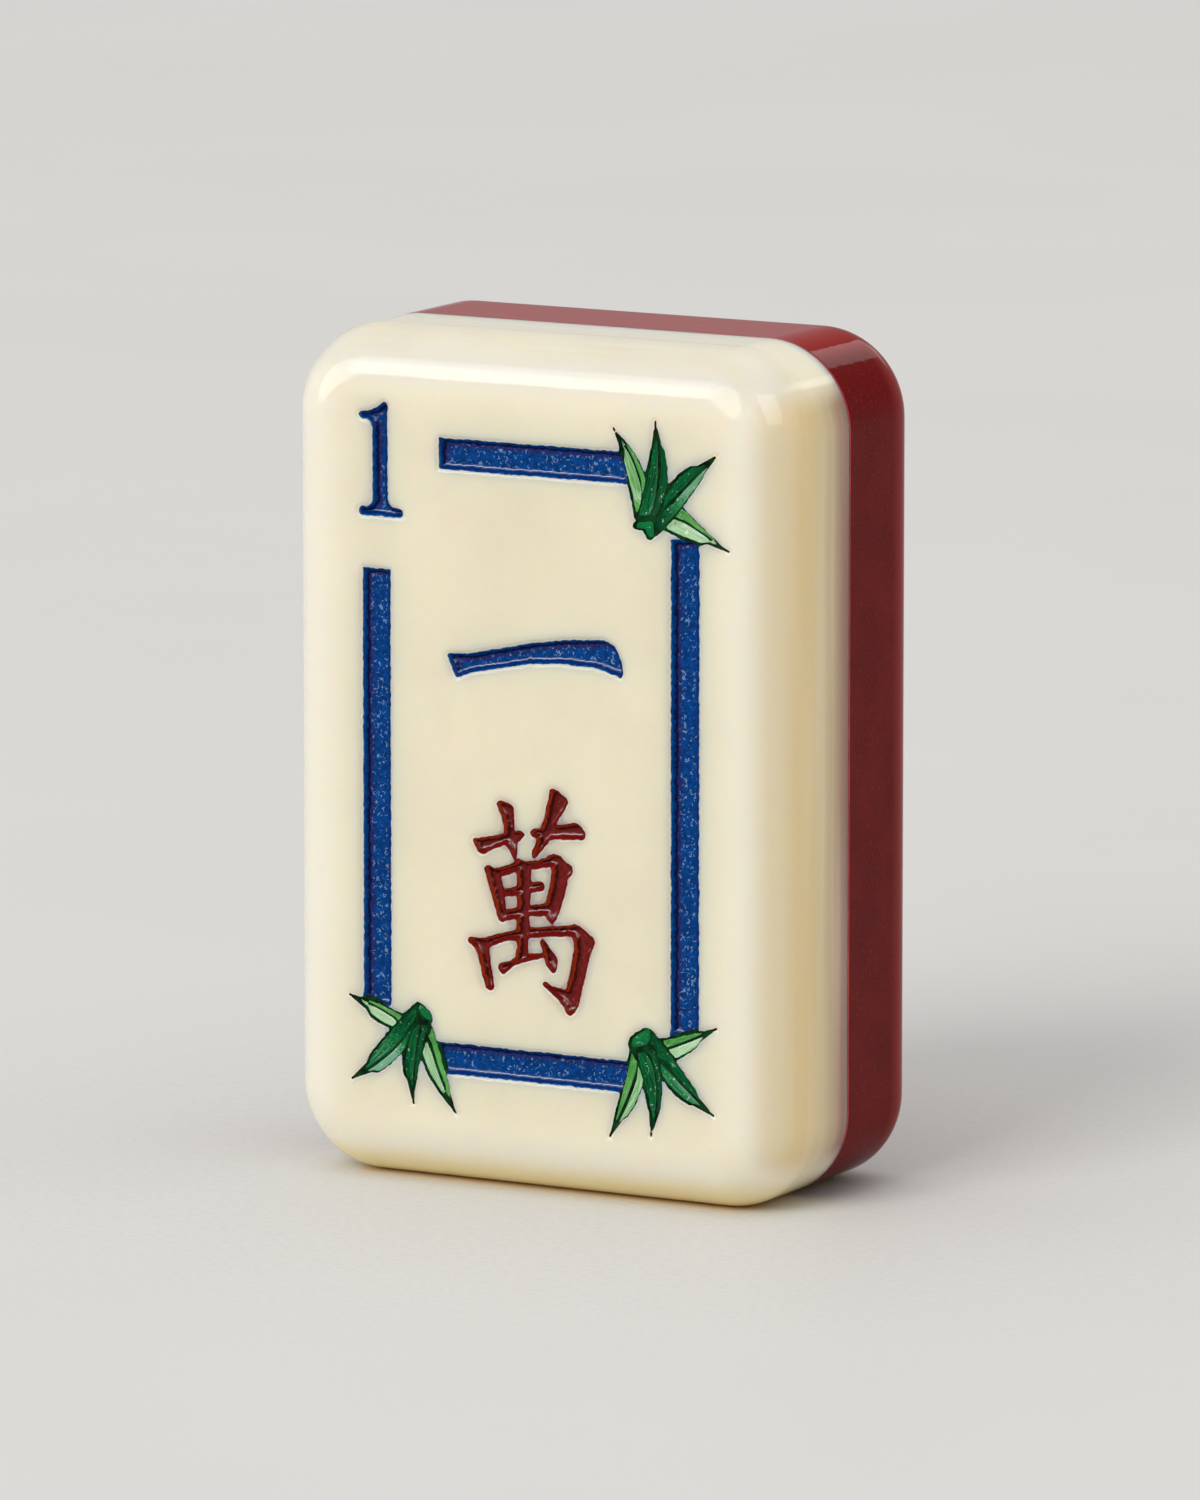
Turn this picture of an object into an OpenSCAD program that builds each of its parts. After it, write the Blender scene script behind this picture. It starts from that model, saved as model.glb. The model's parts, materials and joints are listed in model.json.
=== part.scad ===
// Two-layer game tile standing on its short end, in millimetres.
// The origin is the middle of the end that it stands on. X runs to the right
// of the engraved face, +Y runs from the face to the back, and Z is up.

/* [Tile] */
// Width of the tile, from side to side
tile_w = 20; // [17:0.5:26]
// Height of the tile, from end to end
tile_h = 30; // [27:0.5:40]
// Thickness of the cream front block
front_t = 4.7; // [4:0.1:8]
// Thickness of the glue line between the two blocks
bond_t = 0.1; // [0.05:0.01:0.3]
// Thickness of the red back block
back_t = 5.2; // [4:0.1:9]
// Radius of the tile's corners, seen from the front
corner_r = 3.1; // [2.8:0.1:5]
// Rounding where the front face meets the sides
front_edge_r = 2.3; // [1:0.1:2.7]
// Rounding where the back face meets the sides
back_edge_r = 1.6; // [0.8:0.1:2.7]

/* [Engraving] */
// Depth of the engraved pockets under the front face
cut_depth = 0.45; // [0.35:0.05:1]
// Thickness of the paint on the floor of a pocket
paint_t = 0.2; // [0.1:0.05:0.3]
// Side of one square of the grid that the figures are drawn on
figure_square_w = 0.05; // [0.04:0.005:0.06]

/* [Frame of bars] */
// Width of a bar
bar_w = 1.1; // [0.8:0.1:1.3]
// Cream margin from the tile's side to the frame
side_margin = 3.35; // [3:0.05:4]
// Cream margin from the tile's top to the frame
top_margin = 3.6; // [3.2:0.05:4.5]
// Cream margin from the tile's foot to the frame
foot_margin = 4.05; // [3.6:0.05:5]
// Space left for the numeral at the start of the top bar
top_bar_start = 2.5; // [2.2:0.1:3]
// Space left for the numeral above the left bar
left_bar_drop = 4.2; // [3.8:0.1:5]

/* [Leaf sprays] */
// Side of one square of the grid that the leaves are drawn on
leaf_square_w = 0.05; // [0.04:0.005:0.06]
// Width of the dark line round each leaf
line_w = 0.08; // [0.06:0.01:0.12]
// Width of the dark rib down each leaf
rib_w = 0.07; // [0.04:0.01:0.1]

/* [Figures] */
// Margin from the tile's side to the middle of the numeral's stem
numeral_side = 4.05; // [3.6:0.05:4.6]
// Margin from the tile's top to the foot of the numeral
numeral_drop = 6.5; // [6:0.1:7.5]
// Shift of the upper figure's middle to the right of the tile's middle
stroke_shift = 0.15; // [0:0.05:0.5]
// Drop from the top bar's middle to the foot of the upper figure
stroke_drop = 7.8; // [7:0.1:9]
// Rise from the bottom bar's middle to the foot of the lower figure
character_rise = 1.95; // [1.6:0.05:3]

/* [Hidden] */
$fn = 64;

// Places along the tile's depth, with the face at the front
tile_d = front_t + bond_t + back_t;
face_y = -tile_d / 2;
bond_y = face_y + front_t;
back_y = bond_y + bond_t;
paint_y = face_y + cut_depth - paint_t;

// Middle lines of the frame of bars
frame_x = tile_w / 2 - side_margin - bar_w / 2;
frame_top = tile_h - top_margin - bar_w / 2;
frame_foot = foot_margin + bar_w / 2;

// How far each bar stops short of a corner that holds a spray, in leaf squares
level_gap_share = 44;
upper_gap_share = 47;
lower_gap_share = 33;

// Colours of the two plastics, the glue line and the paints
cream = [0.93, 0.88, 0.75];
dark_red = [0.36, 0.12, 0.12];
bright_red = [0.62, 0.1, 0.09];
blue = [0.07, 0.19, 0.46];
brown_red = [0.46, 0.12, 0.09];
dark_green = [0.03, 0.36, 0.22];
light_green = [0.5, 0.7, 0.4];
line_green = [0.03, 0.12, 0.07];

// Outline of the numeral on its grid, from the middle of the stem's foot
numeral_shares = [
    [-17, 70], [-16, 72.5], [-10, 73], [-5, 74.5], [-1, 76.5], [1.5, 79], [3, 80], [5, 80], [6.5, 78],
    [6, 72], [6, 12], [7, 8.5], [9.5, 6.5], [16, 6], [18.5, 4.5], [18.5, 1], [16.5, -0.5], [-14.5, -0.5],
    [-17, 1], [-17, 4.5], [-15, 6], [-10, 6], [-7, 8], [-6, 10.5], [-6, 62], [-7.5, 65], [-10, 66.5],
    [-14.5, 67]
];

// Outline of the upper figure, one stroke, from the middle of its foot
stroke_shares = [
    [-69, 15.5], [-67.5, 17], [-52.5, 17.5], [-27.5, 23], [-1, 29], [26, 33], [52.5, 35], [55, 35.5],
    [58, 34], [64, 31], [66.5, 27], [70, 18.5], [70.5, 12], [68.5, 9.5], [63.5, 11.5], [48, 15],
    [23.5, 16], [-3, 14], [-27.5, 9], [-49.5, 4.5], [-58.5, 1], [-61, 0], [-62.5, 1.5]
];

// Strokes of the lower figure, from the middle of its foot: the left grass sign
left_grass_shares = [
    [
        [-26.5, 144], [-24.5, 146.5], [-21, 146], [-14.5, 144], [-13, 142], [-12.5, 126], [-10, 119],
        [-10.5, 113], [-10.5, 106.5], [-12, 105.5], [-13.5, 108], [-17, 114], [-19.5, 116.5],
        [-20, 128], [-22, 135.5]
    ],
    [
        [-45.5, 117], [-44, 119], [-40.5, 118.5], [-31.5, 120.5], [-21, 123], [-12.5, 125.5], [-8, 126.5],
        [-5.5, 125.5], [-4.5, 124], [-6, 121.5], [-10, 119], [-19.5, 116], [-26.5, 113.5], [-33.5, 110],
        [-35.5, 108], [-38.5, 108], [-41, 109.5], [-43.5, 114.5]
    ]
];

// The right grass sign
right_grass_shares = [
    [
        [16, 156.5], [18, 158], [21, 157.5], [29, 152], [30.5, 149.5], [29, 146.5], [26, 142], [21, 134],
        [19.5, 132.5], [16, 122.5], [11, 116], [5, 109.5], [3.5, 108.5], [2, 109.5], [2, 112], [5, 119],
        [6, 122.5], [8.5, 129], [11, 134.5], [13.5, 144], [15.5, 150.5]
    ],
    [
        [0.5, 126], [2.5, 128.5], [8.5, 129], [14, 131], [19.5, 132.5], [26, 133], [35, 135.5],
        [39, 135], [44, 129], [43.5, 126], [41.5, 124.5], [23.5, 123.5], [16, 122.5], [6, 122.5], [2, 123.5]
    ]
];

// The body: box side, box top with its right side, stem, cross strokes, legs and dot
character_body_shares = [
    [
        [-36, 98], [-34, 100], [-31.5, 99.5], [-28, 98], [-23.5, 95.5], [-21, 84.5], [-19, 70],
        [-17.5, 64.5], [-19, 63], [-21, 61.5], [-23.5, 62], [-25.5, 65.5], [-28, 74], [-31, 83], [-34, 93]
    ],
    [
        [-28, 98], [-24, 99], [-16.5, 102], [-10.5, 104], [6, 106.5], [12.5, 109], [16, 111.5], [19, 112.5],
        [22.5, 112], [29, 107], [33.5, 104.5], [34, 101.5], [33, 99], [30.5, 96.5], [28.5, 89],
        [25.5, 79], [22.5, 70.5], [19.5, 65.5], [18, 63.5], [16, 64.5], [13.5, 68], [11.5, 69.5],
        [12.5, 77], [16, 89], [17.5, 99], [17.5, 103.5], [1, 100.5], [-10, 98], [-23, 93.5], [-26.5, 95.5]
    ],
    [
        [-10.5, 103.5], [-9, 107], [-7, 106], [-3.5, 105], [1, 101.5], [0.5, 83], [-0.5, 69], [-0.5, 59],
        [-1.5, 53], [-2, 40.5], [-5.5, 35.5], [-11.5, 36.5], [-9.5, 44], [-10.5, 56.5], [-9.5, 71.5],
        [-10, 94]
    ],
    [[-22, 83.5], [-8, 88], [-8, 81.5], [-21, 79.5]],
    [[-1, 90.5], [6, 92], [10, 92.5], [11.5, 91], [12, 89], [10.5, 86.5], [6, 85.5], [-1, 83.5]],
    [
        [-19.5, 69.5], [-9, 72.5], [0, 74.5], [13, 77], [12.5, 69], [-0.5, 67.5], [-10, 64.5],
        [-17.5, 63.5], [-20.5, 63]
    ],
    [
        [-49, 46], [-48, 48], [-45.5, 48.5], [-40.5, 48], [-35.5, 48.5], [-32, 44], [-32.5, 41.5],
        [-32, 38], [-31.5, 31.5], [-29.5, 21.5], [-28.5, 15.5], [-29.5, 13], [-32, 12], [-34.5, 14],
        [-37, 20.5], [-39, 29], [-41, 36.5], [-43.5, 41.5], [-47, 44]
    ],
    [
        [-36, 48.5], [-28, 51.5], [-16.5, 54.5], [-10, 56.5], [-0.5, 59], [6, 59.5], [16, 61], [23.5, 62],
        [33.5, 63.5], [36, 64.5], [40, 63], [46, 59], [50.5, 56], [51.5, 53], [50, 49.5], [47.5, 44],
        [45, 34], [41, 19], [39, 9], [36, 3], [32.5, 0.5], [30, 1], [27.5, 5.5], [24, 9.5], [17.5, 14.5],
        [12.5, 18.5], [10.5, 20.5], [12.5, 22], [17.5, 19.5], [23.5, 18], [28.5, 17.5], [30, 21.5],
        [32.5, 31.5], [35, 44], [35.5, 53.5], [33.5, 56], [28.5, 56], [16, 54.5], [-1.5, 52], [-10, 50],
        [-20.5, 48], [-29.5, 44], [-33, 41.5]
    ],
    [
        [-24, 26.5], [-24.5, 29.5], [-23, 32], [-18, 33.5], [-11.5, 36.5], [-2, 40.5], [6, 41.5],
        [13, 42], [13.5, 39.5], [10, 39], [1, 36.5], [-10.5, 32], [-14, 30.5], [-16.5, 28], [-19.5, 25.5],
        [-21.5, 24.5]
    ],
    [
        [8.5, 49.5], [10, 51.5], [11.5, 51], [13.5, 48.5], [17.5, 44], [21, 40.5], [22, 36.5], [21.5, 33],
        [20, 29.5], [18.5, 29], [16, 31], [13.5, 34.5], [11.5, 39], [10.5, 44], [9, 47.5]
    ]
];

// Leaves of each spray on their grid, from the corner of the frame, front leaf first.
// A leaf is: first base, first bend, tip, second bend, second base, rib base, rib bend.
top_right_leaf_shares = [
    [[-39, -35], [-31, -11], [-23, 33], [-3, -8.5], [-25, -36], [-29, -35], [-19, -3]],
    [[-25, -34], [-13.5, 3.5], [24.5, 13], [0.5, -25], [-23, -46.5], [-24.5, -35], [-3, -10]],
    [[-39, -35], [-43.5, -12], [-55.5, 26.5], [-30, 7], [-27.5, -19], [-33.5, -25], [-38.5, 5]],
    [[-6, -20], [14, -38], [33.5, -52], [2.5, -49.5], [-18, -40], [-16, -29], [3.5, -37]]
];
bottom_left_leaf_shares = [
    [[32, 25], [10, -3.5], [29, -34], [33, -1], [42.5, 24], [35, 24], [24.5, -3]],
    [[33, 38.5], [15, 25], [-20, -21], [7, -20.5], [30, 14], [32, 29], [16, 0]],
    [[22, 27], [0, 36.5], [-22.5, 38.5], [-4, 19], [14, 16], [20, 20], [-2, 31]],
    [[43, 24], [52.5, 0], [63, -38.5], [36, -13.5], [35, 2], [39, 15], [41.5, -6]]
];
bottom_right_leaf_shares = [
    [[-41, 20], [-29.5, -6], [-26, -39], [-9, -6], [-25, 24.5], [-32, 21], [-18, -5]],
    [[-27, 36.5], [-8, 18], [22.5, -20.5], [-13.5, -14.5], [-24, 14], [-30, 27], [-12.5, 0]],
    [[-20, 29], [2, 35], [24.5, 40], [5.5, 19], [-10, 14], [-18, 21], [1, 28]],
    [[-42.5, 20], [-46.5, 2], [-58.5, -43], [-35, -21.5], [-32, 0], [-37, 12], [-42.5, -10.5]]
];

// Cut stem that the leaves of a spray grow from
top_right_stem_shares = [
    [-38.5, -36], [-40, -38], [-40.5, -40], [-39, -41.5], [-33, -42], [-31, -45], [-28.5, -48],
    [-26.5, -48.5], [-23.5, -46.5], [-23.5, -41], [-24, -34.5], [-30, -34.5]
];
bottom_left_stem_shares = [
    [31.5, 36.5], [35, 37], [38.5, 35], [42, 32], [44, 29], [44.5, 26], [43, 23.5], [39, 24], [35, 26],
    [32.5, 29.5], [31, 33]
];
bottom_right_stem_shares = [
    [-43, 20], [-44, 23.5], [-42.5, 28], [-38.5, 31.5], [-33, 35], [-29, 36.5], [-26.5, 34.5], [-26, 28],
    [-29, 23], [-33, 21], [-39, 20.5]
];

// Steps along one side of a leaf
leaf_steps = 10;

// Curve from a through the pull of b to c
function bend(a, b, c, t) = a * (1 - t) * (1 - t) + b * 2 * t * (1 - t) + c * t * t;

// Point of a leaf's first or second side, and of its rib
function side_point(leaf, first, t) =
    first ? bend(leaf[0], leaf[1], leaf[2], t) : bend(leaf[4], leaf[3], leaf[2], t);
function rib_point(leaf, t) = bend(leaf[5], leaf[6], leaf[2], t);

// The way from point a to point b, one unit long
function way(a, b) = (b - a) / norm(b - a);

// Whole outline of a leaf, with its dark line
function leaf_outline(leaf) = concat(
    [for (i = [0 : leaf_steps]) side_point(leaf, true, i / leaf_steps)],
    [for (i = [leaf_steps - 1 : -1 : 0]) side_point(leaf, false, i / leaf_steps)]
);

// Stations where a half of a leaf is wide enough to hold paint between line and rib
function stations(leaf, first) = [
    for (i = [0.5 : leaf_steps - 1])
        let (t = i / leaf_steps)
        if (norm(side_point(leaf, first, t) - rib_point(leaf, t)) * leaf_square_w > line_w + rib_w) t
];

// Painted half of a leaf: the space between its rib and the line along its side
function half_leaf(leaf, first) =
    let (
        ts = stations(leaf, first),
        outer = [
            for (t = ts)
                let (p = side_point(leaf, first, t))
                p + way(p, rib_point(leaf, t)) * line_w / leaf_square_w
        ],
        inner = [
            for (t = ts)
                let (p = rib_point(leaf, t))
                p + way(p, side_point(leaf, first, t)) * rib_w / 2 / leaf_square_w
        ]
    )
    concat(outer, [for (i = [len(inner) - 1 : -1 : 0]) inner[i]]);

// Stem outline drawn in towards its middle by the width of the line
function stem_cell(points) =
    let (middle = [for (k = [0, 1]) sum([for (p = points) p[k]]) / len(points)])
    [for (p = points) p + way(p, middle) * line_w / leaf_square_w];
function sum(values, i = 0) = i < len(values) ? values[i] + sum(values, i + 1) : 0;

// Flat shape drawn in X and Z, stood up with its front at y and its thickness behind it
module stand_up(y, thickness) {
    translate([0, y + thickness, 0])
        rotate([90, 0, 0])
            linear_extrude(thickness)
                children();
}

// Paint that lies on the floor of a pocket
module paint(colour) {
    color(colour)
        stand_up(paint_y, paint_t)
            children();
}

// Profile across an edge: a strip corner_r wide and t thick whose outer front corner is rounded
module edge_profile(t, edge_r) {
    square([corner_r - edge_r, t]);
    translate([0, edge_r])
        square([corner_r, t - edge_r]);
    translate([corner_r - edge_r, 0])
        intersection() {
            square(edge_r);
            translate([0, edge_r])
                circle(edge_r);
        }
}

// Strip of the rounded edge along one side of the tile
module edge_strip(t, edge_r, length) {
    translate([0, 0, -length / 2])
        linear_extrude(length)
            edge_profile(t, edge_r);
}

// Slab of the tile's outline, lying on its back, rounded round the side at z = 0
module rounded_slab(t, edge_r) {
    core_w = tile_w - 2 * corner_r;
    core_h = tile_h - 2 * corner_r;
    overlap = (corner_r - edge_r) / 2;
    translate([-core_w / 2 - overlap, -core_h / 2 - overlap, 0])
        cube([core_w + 2 * overlap, core_h + 2 * overlap, t]);
    for (turn = [0, 180])
        rotate(turn) {
            translate([core_w / 2, 0, 0])
                rotate([90, 0, 0])
                    edge_strip(t, edge_r, core_h);
            translate([0, core_h / 2, 0])
                rotate([90, 0, 90])
                    edge_strip(t, edge_r, core_w);
        }
    for (x = [-1, 1], z = [-1, 1])
        translate([x * core_w / 2, z * core_h / 2, 0])
            rotate(x * z > 0 ? 90 - 90 * x : 180 - 90 * z)
                rotate_extrude(angle = 90)
                    edge_profile(t, edge_r);
}

// Figures as flat shapes, in the tile's X and Z
module numeral_shape() {
    translate([-tile_w / 2 + numeral_side, tile_h - numeral_drop])
        polygon(numeral_shares * figure_square_w);
}

module stroke_shape() {
    translate([stroke_shift, frame_top - stroke_drop])
        polygon(stroke_shares * figure_square_w);
}

module strokes(shares) {
    translate([0, frame_foot + character_rise])
        for (points = shares)
            polygon(points * figure_square_w);
}

// Bars as flat shapes, cut where a spray lies over their ends
module level_bar(from, to, z) {
    translate([from, z - bar_w / 2])
        square([to - from, bar_w]);
}

module upright_bar(x, from, to) {
    translate([x - bar_w / 2, from])
        square([bar_w, to - from]);
}

module top_bar_shape() {
    difference() {
        level_bar(-frame_x + top_bar_start, frame_x - level_gap_share * leaf_square_w, frame_top);
        top_right_shape();
    }
}

module right_bar_shape() {
    difference() {
        upright_bar(
            frame_x,
            frame_foot + lower_gap_share * leaf_square_w,
            frame_top - upper_gap_share * leaf_square_w
        );
        top_right_shape();
        bottom_right_shape();
    }
}

module bottom_bar_shape() {
    difference() {
        level_bar(
            -frame_x + level_gap_share * leaf_square_w,
            frame_x - level_gap_share * leaf_square_w,
            frame_foot
        );
        bottom_left_shape();
        bottom_right_shape();
    }
}

module left_bar_shape() {
    difference() {
        upright_bar(-frame_x, frame_foot + lower_gap_share * leaf_square_w, frame_top - left_bar_drop);
        bottom_left_shape();
    }
}

// Whole area of a spray, of its leaves from the front one to the last, and of its stem
module leaves_area(leaves, count) {
    if (count > 0)
        for (i = [0 : count - 1])
            polygon(leaf_outline(leaves[i]) * leaf_square_w);
}

module spray_area(leaves, stem) {
    leaves_area(leaves, len(leaves));
    polygon(stem * leaf_square_w);
}

// Both painted halves of a leaf, less the stem and the leaves in front of it
module leaf_cell(leaves, stem, i) {
    difference() {
        for (first = [true, false])
            polygon(half_leaf(leaves[i], first) * leaf_square_w);
        leaves_area(leaves, i);
        polygon(stem * leaf_square_w);
    }
}

// Dark lines of a spray: its whole area less every painted cell
module spray_lines(leaves, stem) {
    difference() {
        spray_area(leaves, stem);
        for (i = [0 : len(leaves) - 1])
            leaf_cell(leaves, stem, i);
        polygon(stem_cell(stem) * leaf_square_w);
    }
}

module at_top_right() {
    translate([frame_x, frame_top])
        children();
}

module at_bottom_left() {
    translate([-frame_x, frame_foot])
        children();
}

module at_bottom_right() {
    translate([frame_x, frame_foot])
        children();
}

module top_right_shape() {
    at_top_right()
        spray_area(top_right_leaf_shares, top_right_stem_shares);
}

module bottom_left_shape() {
    at_bottom_left()
        spray_area(bottom_left_leaf_shares, bottom_left_stem_shares);
}

module bottom_right_shape() {
    at_bottom_right()
        spray_area(bottom_right_leaf_shares, bottom_right_stem_shares);
}

// Cream block with a pocket for every figure, bar and spray
module front_block() {
    color(cream)
        difference() {
            translate([0, face_y, tile_h / 2])
                rotate([-90, 0, 0])
                    rounded_slab(front_t, front_edge_r);
            stand_up(face_y - cut_depth, cut_depth * 2) {
                numeral_shape();
                top_bar_shape();
                right_bar_shape();
                bottom_bar_shape();
                left_bar_shape();
                stroke_shape();
                strokes(left_grass_shares);
                strokes(right_grass_shares);
                strokes(character_body_shares);
                top_right_shape();
                bottom_left_shape();
                bottom_right_shape();
            }
        }
}

// Thin layer of clear red glue that fills the joint between the blocks
module bond_layer() {
    core_w = tile_w - 2 * corner_r;
    core_h = tile_h - 2 * corner_r;
    color(bright_red)
        translate([0, 0, tile_h / 2])
            stand_up(bond_y, bond_t) {
                square([tile_w, core_h], center = true);
                square([core_w, tile_h], center = true);
                for (x = [-1, 1], z = [-1, 1])
                    translate([x * core_w / 2, z * core_h / 2])
                        circle(corner_r);
            }
}

// Red block, plain, with its rounded edge at the back
module back_block() {
    color(dark_red)
        translate([0, back_y + back_t, tile_h / 2])
            rotate([90, 0, 0])
                rounded_slab(back_t, back_edge_r);
}

module numeral_paint() {
    paint(blue)
        numeral_shape();
}

module top_bar_paint() {
    paint(blue)
        top_bar_shape();
}

module right_bar_paint() {
    paint(blue)
        right_bar_shape();
}

module bottom_bar_paint() {
    paint(blue)
        bottom_bar_shape();
}

module left_bar_paint() {
    paint(blue)
        left_bar_shape();
}

module stroke_paint() {
    paint(blue)
        stroke_shape();
}

module left_grass_paint() {
    paint(brown_red)
        strokes(left_grass_shares);
}

module right_grass_paint() {
    paint(brown_red)
        strokes(right_grass_shares);
}

module character_body_paint() {
    paint(brown_red)
        strokes(character_body_shares);
}

// Painted leaves, stem and lines of one spray
module top_right_leaf(i, colour) {
    paint(colour)
        at_top_right()
            leaf_cell(top_right_leaf_shares, top_right_stem_shares, i);
}

module top_right_stem() {
    paint(dark_green)
        at_top_right()
            polygon(stem_cell(top_right_stem_shares) * leaf_square_w);
}

module top_right_outline() {
    paint(line_green)
        at_top_right()
            spray_lines(top_right_leaf_shares, top_right_stem_shares);
}

module bottom_left_leaf(i, colour) {
    paint(colour)
        at_bottom_left()
            leaf_cell(bottom_left_leaf_shares, bottom_left_stem_shares, i);
}

module bottom_left_stem() {
    paint(dark_green)
        at_bottom_left()
            polygon(stem_cell(bottom_left_stem_shares) * leaf_square_w);
}

module bottom_left_outline() {
    paint(line_green)
        at_bottom_left()
            spray_lines(bottom_left_leaf_shares, bottom_left_stem_shares);
}

module bottom_right_leaf(i, colour) {
    paint(colour)
        at_bottom_right()
            leaf_cell(bottom_right_leaf_shares, bottom_right_stem_shares, i);
}

module bottom_right_stem() {
    paint(dark_green)
        at_bottom_right()
            polygon(stem_cell(bottom_right_stem_shares) * leaf_square_w);
}

module bottom_right_outline() {
    paint(line_green)
        at_bottom_right()
            spray_lines(bottom_right_leaf_shares, bottom_right_stem_shares);
}

front_block();
bond_layer();
back_block();
numeral_paint();
top_bar_paint();
right_bar_paint();
bottom_bar_paint();
left_bar_paint();
stroke_paint();
left_grass_paint();
right_grass_paint();
character_body_paint();
top_right_leaf(0, dark_green);  // top_right_up_leaf
top_right_leaf(1, dark_green);  // top_right_side_leaf
top_right_leaf(2, light_green);  // top_right_left_leaf
top_right_leaf(3, light_green);  // top_right_low_leaf
top_right_stem();
top_right_outline();
bottom_left_leaf(0, dark_green);  // bottom_left_down_leaf
bottom_left_leaf(1, dark_green);  // bottom_left_side_leaf
bottom_left_leaf(2, light_green);  // bottom_left_upper_leaf
bottom_left_leaf(3, light_green);  // bottom_left_right_leaf
bottom_left_stem();
bottom_left_outline();
bottom_right_leaf(0, dark_green);  // bottom_right_down_leaf
bottom_right_leaf(1, dark_green);  // bottom_right_side_leaf
bottom_right_leaf(2, light_green);  // bottom_right_upper_leaf
bottom_right_leaf(3, light_green);  // bottom_right_left_leaf
bottom_right_stem();
bottom_right_outline();
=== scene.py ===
# %% [markdown]
# This lesson dresses a small game tile: a cream block with an engraved and painted face,
# glued to a plain dark red block. The plain solids come from a CAD model, in metres, and
# each cell below makes one piece or one finish in the same place and at the same size.
# On the real tile the plastic is cast and polished, the figures are cut about a quarter
# of a millimetre deep, and enamel is run into the cuts.

import json
import math

import bpy
import numpy as np
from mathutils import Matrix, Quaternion, Vector
from mathutils.geometry import delaunay_2d_cdt


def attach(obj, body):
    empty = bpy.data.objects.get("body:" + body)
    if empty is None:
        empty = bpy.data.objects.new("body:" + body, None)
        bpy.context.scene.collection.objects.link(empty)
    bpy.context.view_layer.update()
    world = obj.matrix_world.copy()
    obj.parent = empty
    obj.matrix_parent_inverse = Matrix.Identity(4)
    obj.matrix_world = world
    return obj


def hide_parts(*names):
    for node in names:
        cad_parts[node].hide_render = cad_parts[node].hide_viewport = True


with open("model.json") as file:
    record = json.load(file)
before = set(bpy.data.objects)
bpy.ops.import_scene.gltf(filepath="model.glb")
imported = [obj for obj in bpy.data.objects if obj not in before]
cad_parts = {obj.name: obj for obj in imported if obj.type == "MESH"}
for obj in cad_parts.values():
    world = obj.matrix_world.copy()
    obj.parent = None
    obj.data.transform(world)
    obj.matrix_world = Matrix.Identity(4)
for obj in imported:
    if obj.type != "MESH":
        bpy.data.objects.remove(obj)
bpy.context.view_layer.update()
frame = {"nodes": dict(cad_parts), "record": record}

# %% [markdown]
# Every size of the tile is measured from the CAD solids instead of being typed again, so
# the two models can't drift apart. The work is done in millimetres, because a tile is
# small, and each mesh is scaled to metres when it is made.

# %% Measure the two blocks
MM = 0.001
TOUCH = 0.001


def node_points(node):
    mesh = frame["nodes"][node].data
    points = np.empty(len(mesh.vertices) * 3)
    mesh.vertices.foreach_get("co", points)
    return points.reshape(-1, 3) / MM


cream_points = node_points("front_block")
red_points = node_points("back_block")
half_width = cream_points[:, 0].max()
height = cream_points[:, 2].max()
face_y = cream_points[:, 1].min()
cream_seam_y = cream_points[:, 1].max()
red_seam_y = red_points[:, 1].min()
back_y = red_points[:, 1].max()
cream_side = cream_points[cream_points[:, 0] > half_width - TOUCH]
red_side = red_points[red_points[:, 0] > half_width - TOUCH]
corner_radius = cream_side[:, 2].min()
front_edge_radius = cream_side[:, 1].min() - face_y
back_edge_radius = back_y - red_side[:, 1].max()
print("corner, front edge and back edge radii in mm:",
      round(corner_radius, 3), round(front_edge_radius, 3), round(back_edge_radius, 3))

# %% [markdown]
# The figures are flat plates in the CAD model. Their outlines are the edges that only one
# triangle of a plate's front side uses. The outlines of all the plates of a spray meet,
# and an edge with paint on both sides isn't an edge of the cut, so those are left out later.

# %% Read the outline of a painted figure
BLUE_NODES = ["numeral_paint", "top_bar_paint", "right_bar_paint", "bottom_bar_paint",
              "left_bar_paint", "stroke_paint"]
RED_NODES = ["left_grass_paint", "right_grass_paint", "character_body_paint"]
SPRAYS = {
    "top_right": ["up", "side", "left", "low"],
    "bottom_left": ["down", "side", "upper", "right"],
    "bottom_right": ["down", "side", "upper", "left"],
}
SPRAY_NODES = [f"{spray}_{part}" for spray, leaves in SPRAYS.items()
               for part in [*(f"{leaf}_leaf" for leaf in leaves), "stem", "outline"]]
LEAF_NODES = [node for node in SPRAY_NODES if node.endswith("_leaf")]
PAINT_NODES = BLUE_NODES + RED_NODES + SPRAY_NODES


def front_outline(node):
    points = node_points(node)
    front = points[:, 1].min() + TOUCH
    seen = {}
    for polygon in frame["nodes"][node].data.polygons:
        corners = [tuple(np.round(points[i][[0, 2]], 5)) for i in polygon.vertices]
        if max(points[i][1] for i in polygon.vertices) > front:
            continue
        for start, end in zip(corners, corners[1:] + corners[:1]):
            key = (min(start, end), max(start, end))
            seen[key] = seen.get(key, 0) + 1
    return np.array([edge for edge, count in seen.items() if count == 1])


outlines = {node: front_outline(node) for node in PAINT_NODES}
print("painted nodes:", len(outlines), "edges:", sum(len(o) for o in outlines.values()))

# %% [markdown]
# A cut has a rounded rim, a sloping wall and a flat floor, and all of them run along its
# outline. One way is to offset the outline again and again, but offsets tangle in tight
# corners. A distance field is calmer: at each point of a fine grid over the face it holds
# the distance to the nearest outline, positive inside a cut. Its level lines are the
# offsets, and they never cross. STEP is the grid's spacing, REACH the longest distance
# kept, and BESIDE how far to each side of an edge paint is looked for.

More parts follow.
